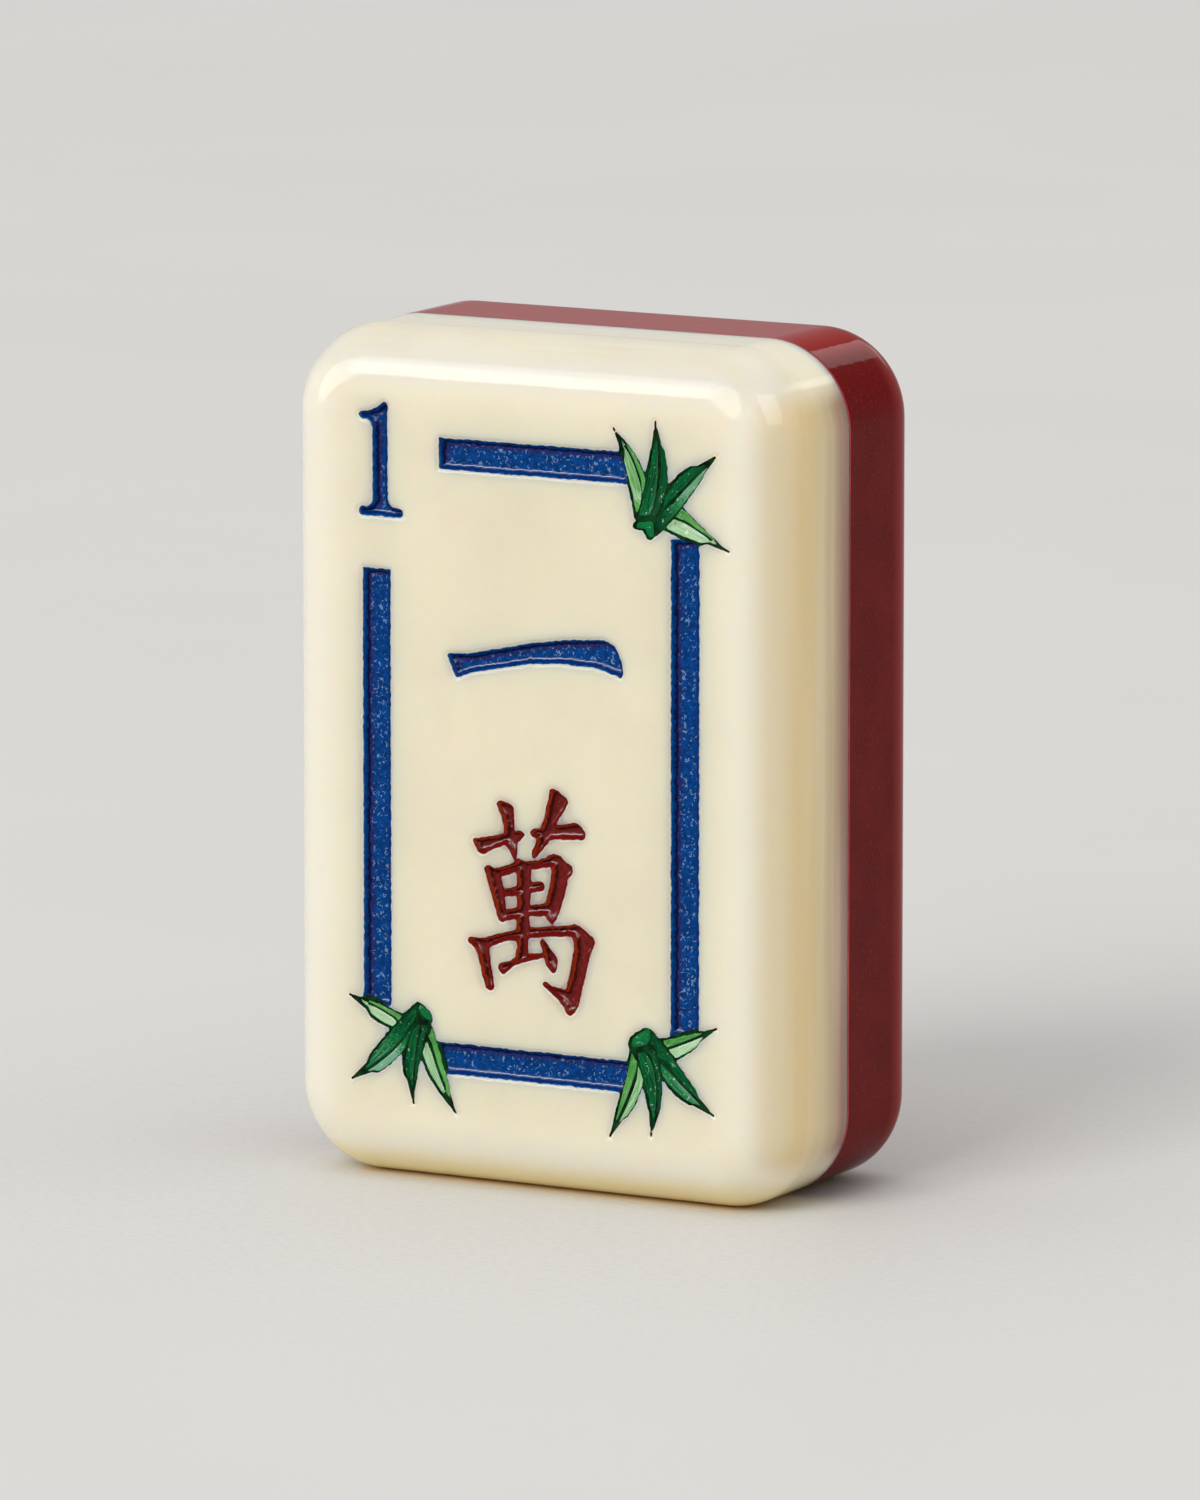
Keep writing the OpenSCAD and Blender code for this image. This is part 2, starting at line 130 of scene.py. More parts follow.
# %% Distance field over the face
STEP = 0.05
REACH = 0.45
BESIDE = 0.004
grid_x = np.arange(-8.3, 8.3, STEP)
grid_z = np.arange(1.9, 28.3, STEP)


def inside(points, outline):
    crossings = np.zeros(len(points), int)
    for (ax, az), (bx, bz) in outline:
        if az == bz:
            continue
        level = (az > points[:, 1]) != (bz > points[:, 1])
        x = ax + (points[:, 1] - az) * (bx - ax) / (bz - az)
        crossings += level & (points[:, 0] < x)
    return crossings % 2 == 1


def distance(points, outline):
    nearest = np.full(len(points), 9.0)
    for start, end in outline:
        along = end - start
        share = np.clip((points - start) @ along / max(along @ along, 1e-12), 0, 1)
        gap = points - start - share[:, None] * along
        nearest = np.minimum(nearest, np.hypot(gap[:, 0], gap[:, 1]))
    return nearest


def outer_edges(edges):
    along = edges[:, 1] - edges[:, 0]
    side = np.stack([-along[:, 1], along[:, 0]], 1)
    side /= np.maximum(np.hypot(side[:, 0], side[:, 1]), 1e-9)[:, None]
    both = True
    for place in (edges.mean(1) - BESIDE * side, edges.mean(1) + BESIDE * side):
        both &= np.any([inside(place, outlines[node]) for node in PAINT_NODES], axis=0)
    return edges[~both]


def patch(edges):
    ends = np.reshape(edges, (-1, 2))
    low, high = ends.min(0) - REACH, ends.max(0) + REACH
    columns = np.flatnonzero((grid_x >= low[0]) & (grid_x <= high[0]))
    rows = np.flatnonzero((grid_z >= low[1]) & (grid_z <= high[1]))
    xs, zs = np.meshgrid(grid_x[columns], grid_z[rows])
    return np.ix_(rows, columns), np.stack([xs.ravel(), zs.ravel()], 1), xs.shape


def covered(nodes):
    count = np.zeros((len(grid_z), len(grid_x)))
    for node in nodes:
        where, points, shape = patch(outlines[node])
        count[where] += inside(points, outlines[node]).reshape(shape)
    return count


cut_edges = outer_edges(np.concatenate(list(outlines.values())))
is_cut = covered(PAINT_NODES) > 0
cut_field = np.full(is_cut.shape, REACH)
for edge in cut_edges:
    where, points, shape = patch(edge)
    cut_field[where] = np.minimum(cut_field[where], distance(points, [edge]).reshape(shape))
cut_field = np.where(is_cut, cut_field, -cut_field)
print("grid", cut_field.shape, "outer edges", len(cut_edges), "cut area in mm2",
      round(is_cut.sum() * STEP * STEP, 1))

# %% [markdown]
# A cutter and a brush leave no sharp corners, and enamel creeps unevenly. Blurring the
# field a little rounds each corner, and a faint smooth noise makes the edges waver by
# about a hundredth of a millimetre. The same blur turns the shapes of the figures into
# soft masks of the zones near paint, which later cells use for rims, for the tint and for
# a painted grey shade round the cuts.
# Deep inside a spray the field stays positive, so no gap opens between its pieces.

# %% Soften the field
chance = np.random.default_rng(7)
CORNER_BLUR = 0.55
NEAR_BLUR = 3
SPRAY_SPREAD, RED_SPREAD = 0.008, 0.022
DEEP_IN_SPRAY, LEAST_FIELD = 0.74, 0.03


def blurred(field, radius):
    steps = np.arange(-math.ceil(3 * radius), math.ceil(3 * radius) + 1)
    weights = np.exp(-0.5 * (steps / radius) ** 2)
    weights /= weights.sum()
    field = np.pad(field, len(steps) // 2, mode="edge")
    for axis in (0, 1):
        places = np.arange(field.shape[axis] - len(steps) + 1)
        field = sum(w * np.take(field, places + k, axis=axis) for k, w in enumerate(weights))
    return field


def waver(radius, amount):
    noise = blurred(chance.standard_normal(cut_field.shape), radius)
    return noise * amount / noise.std()


def sample(field, points):
    u = np.clip((points[:, 0] - grid_x[0]) / STEP, 0, len(grid_x) - 1.001)
    v = np.clip((points[:, 1] - grid_z[0]) / STEP, 0, len(grid_z) - 1.001)
    i, j = u.astype(int), v.astype(int)
    u, v = u - i, v - j
    low = field[j, i] * (1 - u) + field[j, i + 1] * u
    high = field[j + 1, i] * (1 - u) + field[j + 1, i + 1] * u
    return low * (1 - v) + high * v


red_mask, spray_mask = covered(RED_NODES), covered(SPRAY_NODES)
blue_mask = is_cut & (spray_mask + red_mask == 0)
red_near_field = blurred(red_mask, 5)
# This mask later paints a grey shade round the cuts.
paint_near_field = blurred(is_cut.astype(float), 7)
near_spray, near_red, near_blue = [
    np.clip(blurred(mask, NEAR_BLUR) * 8, 0, 1) for mask in (spray_mask, red_mask, blue_mask)]
cut_field = blurred(cut_field, CORNER_BLUR) + waver(1.0, 0.010)
cut_field += SPRAY_SPREAD * near_spray + RED_SPREAD * near_red
deep = blurred(spray_mask, NEAR_BLUR) > DEEP_IN_SPRAY
cut_field = np.where(deep, np.maximum(cut_field, LEAST_FIELD), cut_field)
print("field from", round(cut_field.min(), 3), "to", round(cut_field.max(), 3))

# %% [markdown]
# Marching squares turn a level of the field into short line pieces. Each grid square that
# the level crosses gives one or two of them. The triangulation only needs the pieces, so
# they are never strung into loops.

# %% Level lines
def crossing(field, level, axis, count=0):
    first = field[:, :-1] if axis == 1 else field[:-1, :]
    second = field[:, 1:] if axis == 1 else field[1:, :]
    crossed = (first > level) != (second > level)
    rows, columns = np.nonzero(crossed)
    share = (level - first[crossed]) / (second[crossed] - first[crossed])
    share = np.clip(share, 0.02, 0.98)
    x = grid_x[columns] + (share * STEP if axis == 1 else 0)
    z = grid_z[rows] + (share * STEP if axis == 0 else 0)
    number = np.full(crossed.shape, -1)
    number[rows, columns] = np.arange(len(rows)) + count
    return np.stack([x, z], 1), number


def level_lines(field, level):
    level_points, across = crossing(field, level, 1)
    upright_points, along = crossing(field, level, 0, len(level_points))
    points = np.concatenate([level_points, upright_points])
    sides = np.stack([across[:-1], along[:, 1:], across[1:], along[:, :-1]], -1).reshape(-1, 4)
    sides = sides[(sides >= 0).sum(1) >= 2]
    edges = []
    for square in sides:
        hit = square[square >= 0]
        edges.append((hit[0], hit[1]))
        if len(hit) == 4:
            edges.append((hit[2], hit[3]))
    return points, np.array(edges, int).reshape(-1, 2)


rim_points, rim_edges = level_lines(cut_field, 0.0)
print("rim points:", len(rim_points), "pieces:", len(rim_edges))

# %% [markdown]
# The depth of the cut is a smooth function of that distance: a rim that rolls over, a wall
# that gets steeper, then a small fillet into the floor. Its slope is worked out with it,
# because exact slopes give exact normals, and a polished face shows every wrong normal.

# %% Profile of a cut
RIM = 0.17
RIM_DROP = 0.07
WALL = 0.08
WALL_SLOPE = 1.6
FILLET = 0.13


def cut_profile(t):
    rim_slope = 2 * RIM_DROP / RIM
    a = np.clip(t + RIM, 0, RIM)
    b = np.clip(t, 0, WALL)
    c = np.clip(t - WALL, 0, FILLET)
    depth = RIM_DROP * (a / RIM) ** 2 + rim_slope * b + (WALL_SLOPE - rim_slope) * b * b / (2 * WALL)
    depth = depth + WALL_SLOPE * c - WALL_SLOPE * c * c / (2 * FILLET)
    slope = np.where(t < 0, rim_slope * a / RIM, rim_slope + (WALL_SLOPE - rim_slope) * b / WALL)
    slope = np.where(t > WALL, WALL_SLOPE * (1 - c / FILLET), slope)
    slope = np.where(t > WALL + FILLET, 0, slope)
    return depth, np.where(t < -RIM, 0, slope)


floor_depth = cut_profile(np.array([1.0]))[0][0]
print("depth of a floor in mm:", round(floor_depth, 3))

# %% [markdown]
# Outside the flat middle of the face the block rolls over with a large radius. The drop
# of that roll is known for any point too, from its distance to the flat middle's outline.

# %% Roll of the front edge
core_x = half_width - corner_radius
core_z = height / 2 - corner_radius
flat_radius = corner_radius - front_edge_radius


def face_roll(points):
    x = points[:, 0]
    z = points[:, 1] - height / 2
    out_x = np.maximum(np.abs(x) - core_x, 0) * np.sign(x)
    out_z = np.maximum(np.abs(z) - core_z, 0) * np.sign(z)
    far = np.hypot(out_x, out_z)
    beyond = np.clip(far - flat_radius, 0, front_edge_radius * 0.999)
    drop = front_edge_radius - np.sqrt(front_edge_radius ** 2 - beyond ** 2)
    slope = beyond / np.sqrt(front_edge_radius ** 2 - beyond ** 2)
    far = np.maximum(far, 1e-9)
    return drop, slope * out_x / far, slope * out_z / far


print("roll at the tile's corner:", face_roll(np.array([[half_width - 1, height - 1]]))[0].round(3))

# %% [markdown]
# The outline of the tile is a rectangle with round corners. A ring is that outline at
# one depth, with a point and an outward direction for each of its places.

# %% Rings of the tile's outline
ARC_STEPS = 20
SIDE_STEPS = 10


def outline_ring(radius):
    centres = [(core_x, core_z), (-core_x, core_z), (-core_x, -core_z), (core_x, -core_z)]
    points, outward = [], []
    for k, (cx, cz) in enumerate(centres):
        for a in np.linspace(k, k + 1, ARC_STEPS + 1) * math.pi / 2:
            outward.append((math.cos(a), math.sin(a)))
            points.append((cx + radius * math.cos(a), cz + radius * math.sin(a)))
        a = (k + 1) * math.pi / 2
        nx, nz = centres[(k + 1) % 4]
        for share in np.arange(1, SIDE_STEPS) / SIDE_STEPS:
            outward.append((math.cos(a), math.sin(a)))
            points.append((cx + (nx - cx) * share + radius * math.cos(a),
                           cz + (nz - cz) * share + radius * math.sin(a)))
    return np.array(points) + (0, height / 2), np.array(outward)


ring_size = len(outline_ring(corner_radius)[0])
print("points in a ring:", ring_size)

# %% [markdown]
# Inside a spray the cut isn't a flat floor: each leaf is two slopes that meet in a groove,
# its rib. The slope comes from two distances, to the rib and to the leaf's side. Both are
# read from the outlines of the leaf's two painted halves, because the rib side of one
# half is the side that faces the other half.

# %% Halves of a leaf
RIB_WIDTH = 0.07


def loops(edges):
    keys = {}
    for k, edge in enumerate(edges):
        for end in edge:
            keys.setdefault(tuple(np.round(end, 4)), []).append(k)
    group = np.arange(len(edges))
    changed = True
    while changed:
        changed = False
        for members in keys.values():
            low = group[members].min()
            if (group[members] != low).any():
                group[members] = low
                changed = True
    return [edges[group == g] for g in np.unique(group)]


def split_half(half, other):
    near = distance(half.mean(1), other) < RIB_WIDTH * 1.4
    return half[near], half[~near]


leaf_halves = {}
for node in LEAF_NODES:
    halves = sorted(loops(outlines[node]), key=len)[-2:]
    halves.sort(key=lambda half: half.mean((0, 1))[1], reverse=True)
    leaf_halves[node] = [(halves[i], *split_half(halves[i], halves[1 - i])) for i in (0, 1)]
print({node: [len(h[1]) for h in halves] for node, halves in leaf_halves.items()})

# %% [markdown]
# A brush that is lifted off leaves a fine point, finer than the squares of the grid. So
# the leaf is kept inside a slender cone over its last millimetre, and its very end is
# drawn as a short thin line that carries on the rib. Both change the field of the cut.
# The cone has a radius at the point, a slope, and a flare behind the point's length.

# %% Points of the leaves
POINT_LENGTH = 0.8
POINT_RADIUS = 0.042
POINT_OVERHANG = 0.03
CONE_RADIUS, CONE_SLOPE, CONE_FLARE = 0.035, 0.2, 0.5
CONE_LENGTH = 1.4
RIM_SEARCH = 0.9
LINE_WIDTH = 0.06
near_tip = np.zeros(cut_field.shape)
leaf_ends, leaf_limit = {}, {}
for node, halves in leaf_halves.items():
    spray = next(name for name in SPRAYS if node.startswith(name))
    ends = outlines[node].reshape(-1, 2)
    from_stem = np.hypot(*(ends - outlines[f"{spray}_stem"].reshape(-1, 2).mean(0)).T)
    base, tip = leaf_ends[node] = ends[np.argmin(from_stem)], ends[np.argmax(from_stem)]
    inward = (base - tip) / np.hypot(*(base - tip))
    rim = outlines[f"{spray}_outline"].reshape(-1, 2)
    rim = rim[np.hypot(*(rim - tip).T) < RIM_SEARCH]
    point = rim[np.argmin((rim - tip) @ inward)]
    rib = np.concatenate([half[1] for half in halves])
    rib = np.concatenate([rib[:, 0] + (rib[:, 1] - rib[:, 0]) * t for t in np.linspace(0, 1, 9)])
    from_end = np.hypot(*(rib - point).T)
    middle = rib[np.abs(from_end - max(POINT_LENGTH, from_end.min() + 0.1)) < 0.15].mean(0)
    axis = (middle - point) / np.hypot(*(middle - point))
    where, points, shape = patch([tip - 1.5, tip + 1.5])
    from_point = (points - point) @ axis
    aside = np.abs((points - point) @ (-axis[1], axis[0]))
    flare = CONE_FLARE * np.maximum(from_point - POINT_LENGTH, 0)
    cone = CONE_RADIUS + CONE_SLOPE * np.maximum(from_point, 0) + flare
    share = np.clip((0.5 - aside) / 0.15, 0, 1) * (from_point < CONE_LENGTH)
    over = np.clip(cut_field[where] - (cone - aside).reshape(shape), 0, 0.4)
    over = over * share.reshape(shape) * (1 - near_blue[where])
    line = np.array([(middle, point - POINT_OVERHANG * axis)])
    point_field = POINT_RADIUS - distance(points, line).reshape(shape)
    cut_field[where] = np.maximum(cut_field[where] - over, point_field)
    inner = np.minimum(cone - LINE_WIDTH, 0.5 * (from_point - 0.42)) - aside
    leaf_limit[node] = np.full(cut_field.shape, REACH)
    leaf_limit[node][where] = np.where(from_point < CONE_LENGTH, inner, REACH).reshape(shape)
    from_tip = np.hypot(*(points - tip).T).reshape(shape)
    near_tip[where] = np.maximum(near_tip[where], np.clip(1.2 - from_tip, 0, 1))
print("leaf points drawn:", len(leaf_ends))

# %% [markdown]
# The field of each leaf is drawn on the same grid, for the level line round its paint.
# The dark rib between its halves is thinner than two grid squares. So the field is first
# made from the leaf's sides alone, and then lowered along the rib by the distances to
# both of the rib's sides, which can't break up into dashes.

# %% Fields of the leaves and stems
TIP_GROWTH = 0.035
RIB_REACH = 0.047


def own_field(edges):
    where, points, shape = patch(edges)
    near = np.minimum(distance(points, edges), REACH)
    field = np.full(cut_field.shape, -REACH)
    field[where] = np.where(inside(points, edges), near, -near).reshape(shape)
    return field


cell_fields = {}
for node in [node for node in SPRAY_NODES if not node.endswith("_outline")]:
    field = own_field(outlines[node])
    if node in leaf_ends:
        where, points, shape = patch(outlines[node])
        to_rib = sum(distance(points, half[1]) for half in leaf_halves[node]) / 2
        to_side = np.minimum(*[distance(points, half[2]) for half in leaf_halves[node]])
        is_leaf = inside(points, outlines[node]) | (to_rib < RIB_WIDTH / 2 + 0.001)
        to_side = np.where(is_leaf, 1, -1) * np.minimum(to_side, REACH)
        field[where] = to_side.reshape(shape)
    field = blurred(field, 0.45) + waver(0.8, 0.009)
    if node in leaf_ends:
        field = np.minimum(field + TIP_GROWTH * near_tip, leaf_limit[node])
        field[where] = np.minimum(field[where], to_rib.reshape(shape) - RIB_REACH)
    cell_fields[node] = field
print("cells:", len(cell_fields))

# %% [markdown]
# Now the whole face is cut into triangles once, with every level line as an edge that the
# triangles must follow. Blender's constrained Delaunay triangulation does this quickly.
# The cream block and the enamel then share those triangles, so no crack can open
# between them.

# %% Triangulate the face
OUTER_LEVELS = [-0.32, -0.24, -0.17, -0.13, -0.095, -0.06, -0.028]
INNER_LEVELS = [0.0, 0.03, 0.06, 0.08, 0.105, 0.13, 0.155, 0.18, 0.21, 0.26, 0.33, 0.40]
CELL_EDGE = 0.003
CELL_LEVELS = [CELL_EDGE, 0.06, 0.12, 0.19]
FACE_REACH = 0.5
spray_field = np.max([own_field(outlines[node]) for node in SPRAY_NODES], axis=0)
bar_field = np.where(spray_field > -0.001, np.minimum(cut_field, 0.05), cut_field)
all_lines = [level_lines(cut_field if level < 0.04 else bar_field, level)
             for level in OUTER_LEVELS + INNER_LEVELS]
all_lines += [level_lines(field, level) for field in cell_fields.values() for level in CELL_LEVELS]
loop_edges = np.stack([np.arange(ring_size), np.roll(np.arange(ring_size), -1)], 1)
for beyond in (0, FACE_REACH / 3, FACE_REACH * 2 / 3, FACE_REACH):
    all_lines.append((outline_ring(flat_radius + beyond)[0], loop_edges))
border = all_lines[-1][0]
plane_points = np.concatenate([points for points, _ in all_lines])
offsets = np.cumsum([0] + [len(points) for points, _ in all_lines])
plane_edges = np.concatenate([edges + offset for (_, edges), offset in zip(all_lines, offsets)])
result = delaunay_2d_cdt([Vector(p) for p in plane_points], plane_edges.tolist(), [], 0, 1e-5, False)
face_points = np.array([tuple(p) for p in result[0]])
face_triangles = np.array([t for t in result[2] if len(t) == 3])
a, b, c = (face_points[face_triangles[:, k]] for k in range(3))
area = (b[:, 0] - a[:, 0]) * (c[:, 1] - a[:, 1]) - (b[:, 1] - a[:, 1]) * (c[:, 0] - a[:, 0])
face_triangles = face_triangles[np.abs(area) > 1e-9]
print("points", len(face_points), "triangles", len(face_triangles))

# %% [markdown]
# Each triangle is sorted by its middle: below zero in the cut field it is cream, and
# otherwise it is the paint whose outline is nearest. A leaf or stem wins over a dark
# line. The lines reach a little past their outline, more at a tip and less beside a bar.

# %% Sort the triangles
CELL_WINS, LINE_WINS, LOSES = 5.0, 0.5, -9.0
LINE_REACH, TIP_REACH, BLUE_GUARD = 0.12, 0.1, 0.08
middles = face_points[face_triangles].mean(1)
best = np.full(len(middles), LOSES)
owner = np.full(len(middles), -1)
for k, node in enumerate(PAINT_NODES):
    if node in cell_fields:
        value = np.where(sample(cell_fields[node], middles) > CELL_EDGE, CELL_WINS, LOSES)
    else:
        value = sample(own_field(outlines[node]), middles)
    if node.endswith("_outline"):
        reach = TIP_REACH * sample(near_tip, middles)
        blue = BLUE_GUARD * sample(near_blue, middles)
        value = np.where(value > blue - LINE_REACH - reach, np.maximum(value, 0) + LINE_WINS, value)
        value = np.where(sample(spray_field, middles) > -0.08 - reach, value, LOSES + 1)
    owner = np.where(value > best, k, owner)
    best = np.maximum(value, best)
owner = np.where(sample(cut_field, middles) > 0, owner, -1)
print("cream:", (owner == -1).sum(), "painted:", (owner >= 0).sum())

# %% [markdown]
# The depth at a point of the face: the roll of the edge plus the cut. In a leaf the cut
# grows from the leaf's side to its rib. In the dark lines it stops at a shallow step. The
# fine cuts of the sprays and of the red figure have a shallower rim than the bars.

# %% Depth and normals of the face
SIDE_DEPTH = 0.11
RIB_DEPTH = 0.30
LINE_DEPTH = 0.15


def face_gradient(points):
    gap = STEP * 0.5
    gx = sample(cut_field, points + (gap, 0)) - sample(cut_field, points - (gap, 0))
    gz = sample(cut_field, points + (0, gap)) - sample(cut_field, points - (0, gap))
    size = np.maximum(np.hypot(gx, gz), 1e-9)
    return gx / size, gz / size


cut_distance = sample(cut_field, face_points)
depth, slope = cut_profile(cut_distance)
rim_share = 1 - sample(np.maximum(0.65 * near_spray, 0.5 * near_red), face_points)
depth = depth - (1 - rim_share) * np.minimum(depth, RIM_DROP)
slope = np.where(cut_distance < 0, slope * rim_share, slope)
roll, roll_x, roll_z = face_roll(face_points)
grad_x, grad_z = face_gradient(face_points)
in_spray = sample(spray_field, face_points) > 0.0
depth = np.where(in_spray, np.minimum(depth, LINE_DEPTH), depth)
slope_x = roll_x + slope * grad_x
slope_z = roll_z + slope * grad_z
print("deepest cut in mm:", round(depth.max(), 3), "points in sprays:", in_spray.sum())

# %% [markdown]
# Each half of a leaf gets two numbers for every point: how far it is from the rib towards
# the side, and how far it is from the leaf's base towards its tip. The first gives the
# depth, and both steer the colours later. The slope is the depth's change over a
# hundredth of a millimetre.

# %% Form of a leaf
LEAF_SLOPE = 0.5
CELL_MARGIN = 0.006
PROBE = 0.01
KNOB_SLOPE = 0.5
leaf_share, leaf_half, leaf_along = np.zeros((3, len(face_points)))


def leaf_depth(node, points, half):
    share, fall = np.zeros((2, len(points)))
    for i, (_, rib_edges, side_edges) in enumerate(leaf_halves[node]):
        mine = half == i
        to_rib = distance(points[mine], rib_edges)
        to_side = distance(points[mine], side_edges)
        share[mine] = to_rib / np.maximum(to_rib + to_side, 1e-6)
        fall[mine] = np.minimum(RIB_DEPTH - SIDE_DEPTH, LEAF_SLOPE * (to_rib + to_side))
    return SIDE_DEPTH + fall * (1 - share), share


for node, halves in leaf_halves.items():
    ends = outlines[node].reshape(-1, 2)
    near = np.all((face_points > ends.min(0) - 0.1) & (face_points < ends.max(0) + 0.1), axis=1)
    near &= sample(cell_fields[node], face_points) > CELL_EDGE - CELL_MARGIN
    chosen = np.flatnonzero(near)
    points = face_points[chosen]
    half = (distance(points, halves[0][0]) > distance(points, halves[1][0])).astype(int)
    depth[chosen], leaf_share[chosen] = leaf_depth(node, points, half)
    leaf_half[chosen] = half
    base, tip = leaf_ends[node]
    leaf_along[chosen] = np.clip((points - base) @ (tip - base) / ((tip - base) @ (tip - base)), 0, 1)
    for step, slopes, roll_slope in (((PROBE, 0), slope_x, roll_x), ((0, PROBE), slope_z, roll_z)):
        ahead = leaf_depth(node, points + step, half)[0]
        behind = leaf_depth(node, points - step, half)[0]
        slopes[chosen] = roll_slope[chosen] + (ahead - behind) / (2 * PROBE)
for node in [f"{spray}_stem" for spray in SPRAYS]:
    chosen = np.flatnonzero(sample(cell_fields[node], face_points) > CELL_EDGE - CELL_MARGIN)
    points = face_points[chosen]
    knob = blurred(np.maximum(own_field(outlines[node]), 0), 1.5)
    depth[chosen] = SIDE_DEPTH + 0.02 - KNOB_SLOPE * sample(knob, points)
    for step, slopes in (((STEP, 0), slope_x), ((0, STEP), slope_z)):
        rise = sample(knob, points + step) - sample(knob, points - step)
        slopes[chosen] = -KNOB_SLOPE * rise / (2 * STEP)
print("leaf points:", (leaf_share > 0).sum())

# %% [markdown]
# A mesh is made from its points in millimetres, its triangles and the normal of each
# point. Exact normals let a coarse mesh reflect like a smooth one. Extra numbers, such as
# the share of the way across a leaf, are stored on the points for the materials to read.

# %% Make a mesh piece
def add_object(name, data):
    thing = bpy.data.objects.new(name, data)
    bpy.context.scene.collection.objects.link(thing)
    return thing


def make_piece(name, points, faces, normals=None, numbers=None):
    mesh = bpy.data.meshes.new(name)
    mesh.from_pydata((np.asarray(points) * MM).tolist(), [], [list(map(int, f)) for f in faces])
    mesh.polygons.foreach_set("use_smooth", np.ones(len(mesh.polygons), bool))
    for label, values in (numbers or {}).items():
        attribute = mesh.attributes.new(label, "FLOAT", "POINT")
        attribute.data.foreach_set("value", np.asarray(values, np.float32))
    if normals is not None:
        mesh.normals_split_custom_set_from_vertices(np.asarray(normals).tolist())
    return add_object(name, mesh)


def kept(points, faces, *columns):
    used = np.unique(faces)
    lookup = np.full(len(points), -1)
    lookup[used] = np.arange(len(used))
    return (points[used], lookup[faces], *[column[used] for column in columns])


def at_depth(points, y):
    return np.stack([points[:, 0], np.broadcast_to(y, len(points)), points[:, 1]], 1)


face_xyz = at_depth(face_points, face_y + roll + depth)
face_normals = at_depth(np.stack([slope_x, slope_z], 1), -1.0)
face_normals /= np.linalg.norm(face_normals, axis=1)[:, None]
print("face ready:", face_xyz.min(0).round(2), face_xyz.max(0).round(2))

# %% [markdown]
# Under the enamel the cream block goes on, a little deeper, so the block is one closed
# body. Light that wanders through the translucent plastic then finds plastic everywhere
# and doesn't leak through holes. Round the face come the rings of the rolled edge, down
# to the joint. There the corner is broken a little: CORNER gives how far three rings draw
# in and how far they lie from the joint, and their normals lean by the first of these.

# %% Cream block
EDGE_STEPS = 14
SKIN = 0.02
CORNER = [(0.0, 0.03), (0.004, 0.01), (0.02, 0.0)]
CORNER_LEAN = 25


def ring_stack(rings):
    points, normals = [], []
    for radius, y, along, across in rings:
        ring, outward = outline_ring(radius)
        points.append(at_depth(ring, y))
        normals.append(at_depth(outward * across, along) / math.hypot(along, across))
    return points, normals


def strips(loops):
    return [face for first, second in zip(loops, loops[1:])
            for face in np.stack([first, second, np.roll(second, -1), np.roll(first, -1)], 1).tolist()]


def fan(first, second, hub):
    return [[int(a), int(b), hub] for a, b in zip(first, second)]


rings = []
for angle in np.linspace(math.asin(FACE_REACH / front_edge_radius), math.pi / 2, EDGE_STEPS + 1)[1:]:
    rings.append((flat_radius + front_edge_radius * math.sin(angle),
                  face_y + front_edge_radius * (1 - math.cos(angle)), -math.cos(angle), math.sin(angle)))
rings += [(corner_radius - inset, cream_seam_y - before, inset * CORNER_LEAN, 1.0)
          for inset, before in CORNER]
ring_points, ring_normals = ring_stack(rings)
count = len(face_points)
edge_loops = [np.array([np.argmin(np.hypot(*(face_points - place).T)) for place in border])]
edge_loops += [np.arange(ring_size) + count + k * ring_size for k in range(len(rings))]
faces = face_triangles.tolist() + strips(edge_loops)
faces += fan(np.roll(edge_loops[-1], -1), edge_loops[-1], count + len(rings) * ring_size)
skin = SKIN * np.clip(cut_distance / (2 * SKIN), 0, 1)
cream_xyz = at_depth(face_points, face_y + roll + depth + skin)
cream_all = np.concatenate([cream_xyz, *ring_points, [[0, cream_seam_y, height / 2]]])
cream_normals = np.concatenate([face_normals, *ring_normals, [[0, 1, 0]]])
rest = np.zeros(len(cream_all) - count)
cream_numbers = {
    "cut_distance": np.concatenate([cut_distance, rest - 1]),
    "red_near": np.concatenate([sample(red_near_field, face_points), rest]),
    "paint_near": np.concatenate([sample(paint_near_field, face_points), rest]),
}
cream_block = make_piece("cream_block", cream_all, faces, cream_normals, cream_numbers)
print("cream block:", len(cream_block.data.polygons), "faces")

# %% [markdown]
# The red block is plain: rings from the joint to the rounded back edge, and a flat back.

# %% Red block
rings = [(corner_radius - inset, red_seam_y + behind, -inset * CORNER_LEAN, 1.0)
         for inset, behind in reversed(CORNER)]
for angle in np.linspace(0, math.pi / 2, EDGE_STEPS + 1):
    rings.append((corner_radius - back_edge_radius * (1 - math.cos(angle)),
                  back_y - back_edge_radius * (1 - math.sin(angle)), math.sin(angle), math.cos(angle)))
ring_points, ring_normals = ring_stack(rings)
edge_loops = [np.arange(ring_size) + k * ring_size for k in range(len(rings))]
hub = len(rings) * ring_size
faces = strips(edge_loops) + fan(edge_loops[0], np.roll(edge_loops[0], -1), hub)
faces += fan(np.roll(edge_loops[-1], -1), edge_loops[-1], hub + 1)
red_xyz = np.concatenate([*ring_points, [[0, red_seam_y, height / 2], [0, back_y, height / 2]]])
red_normals = np.concatenate([*ring_normals, [[0, -1, 0], [0, 1, 0]]])
red_block = make_piece("red_block", red_xyz, faces, red_normals)
print("red block:", len(red_block.data.polygons), "faces")
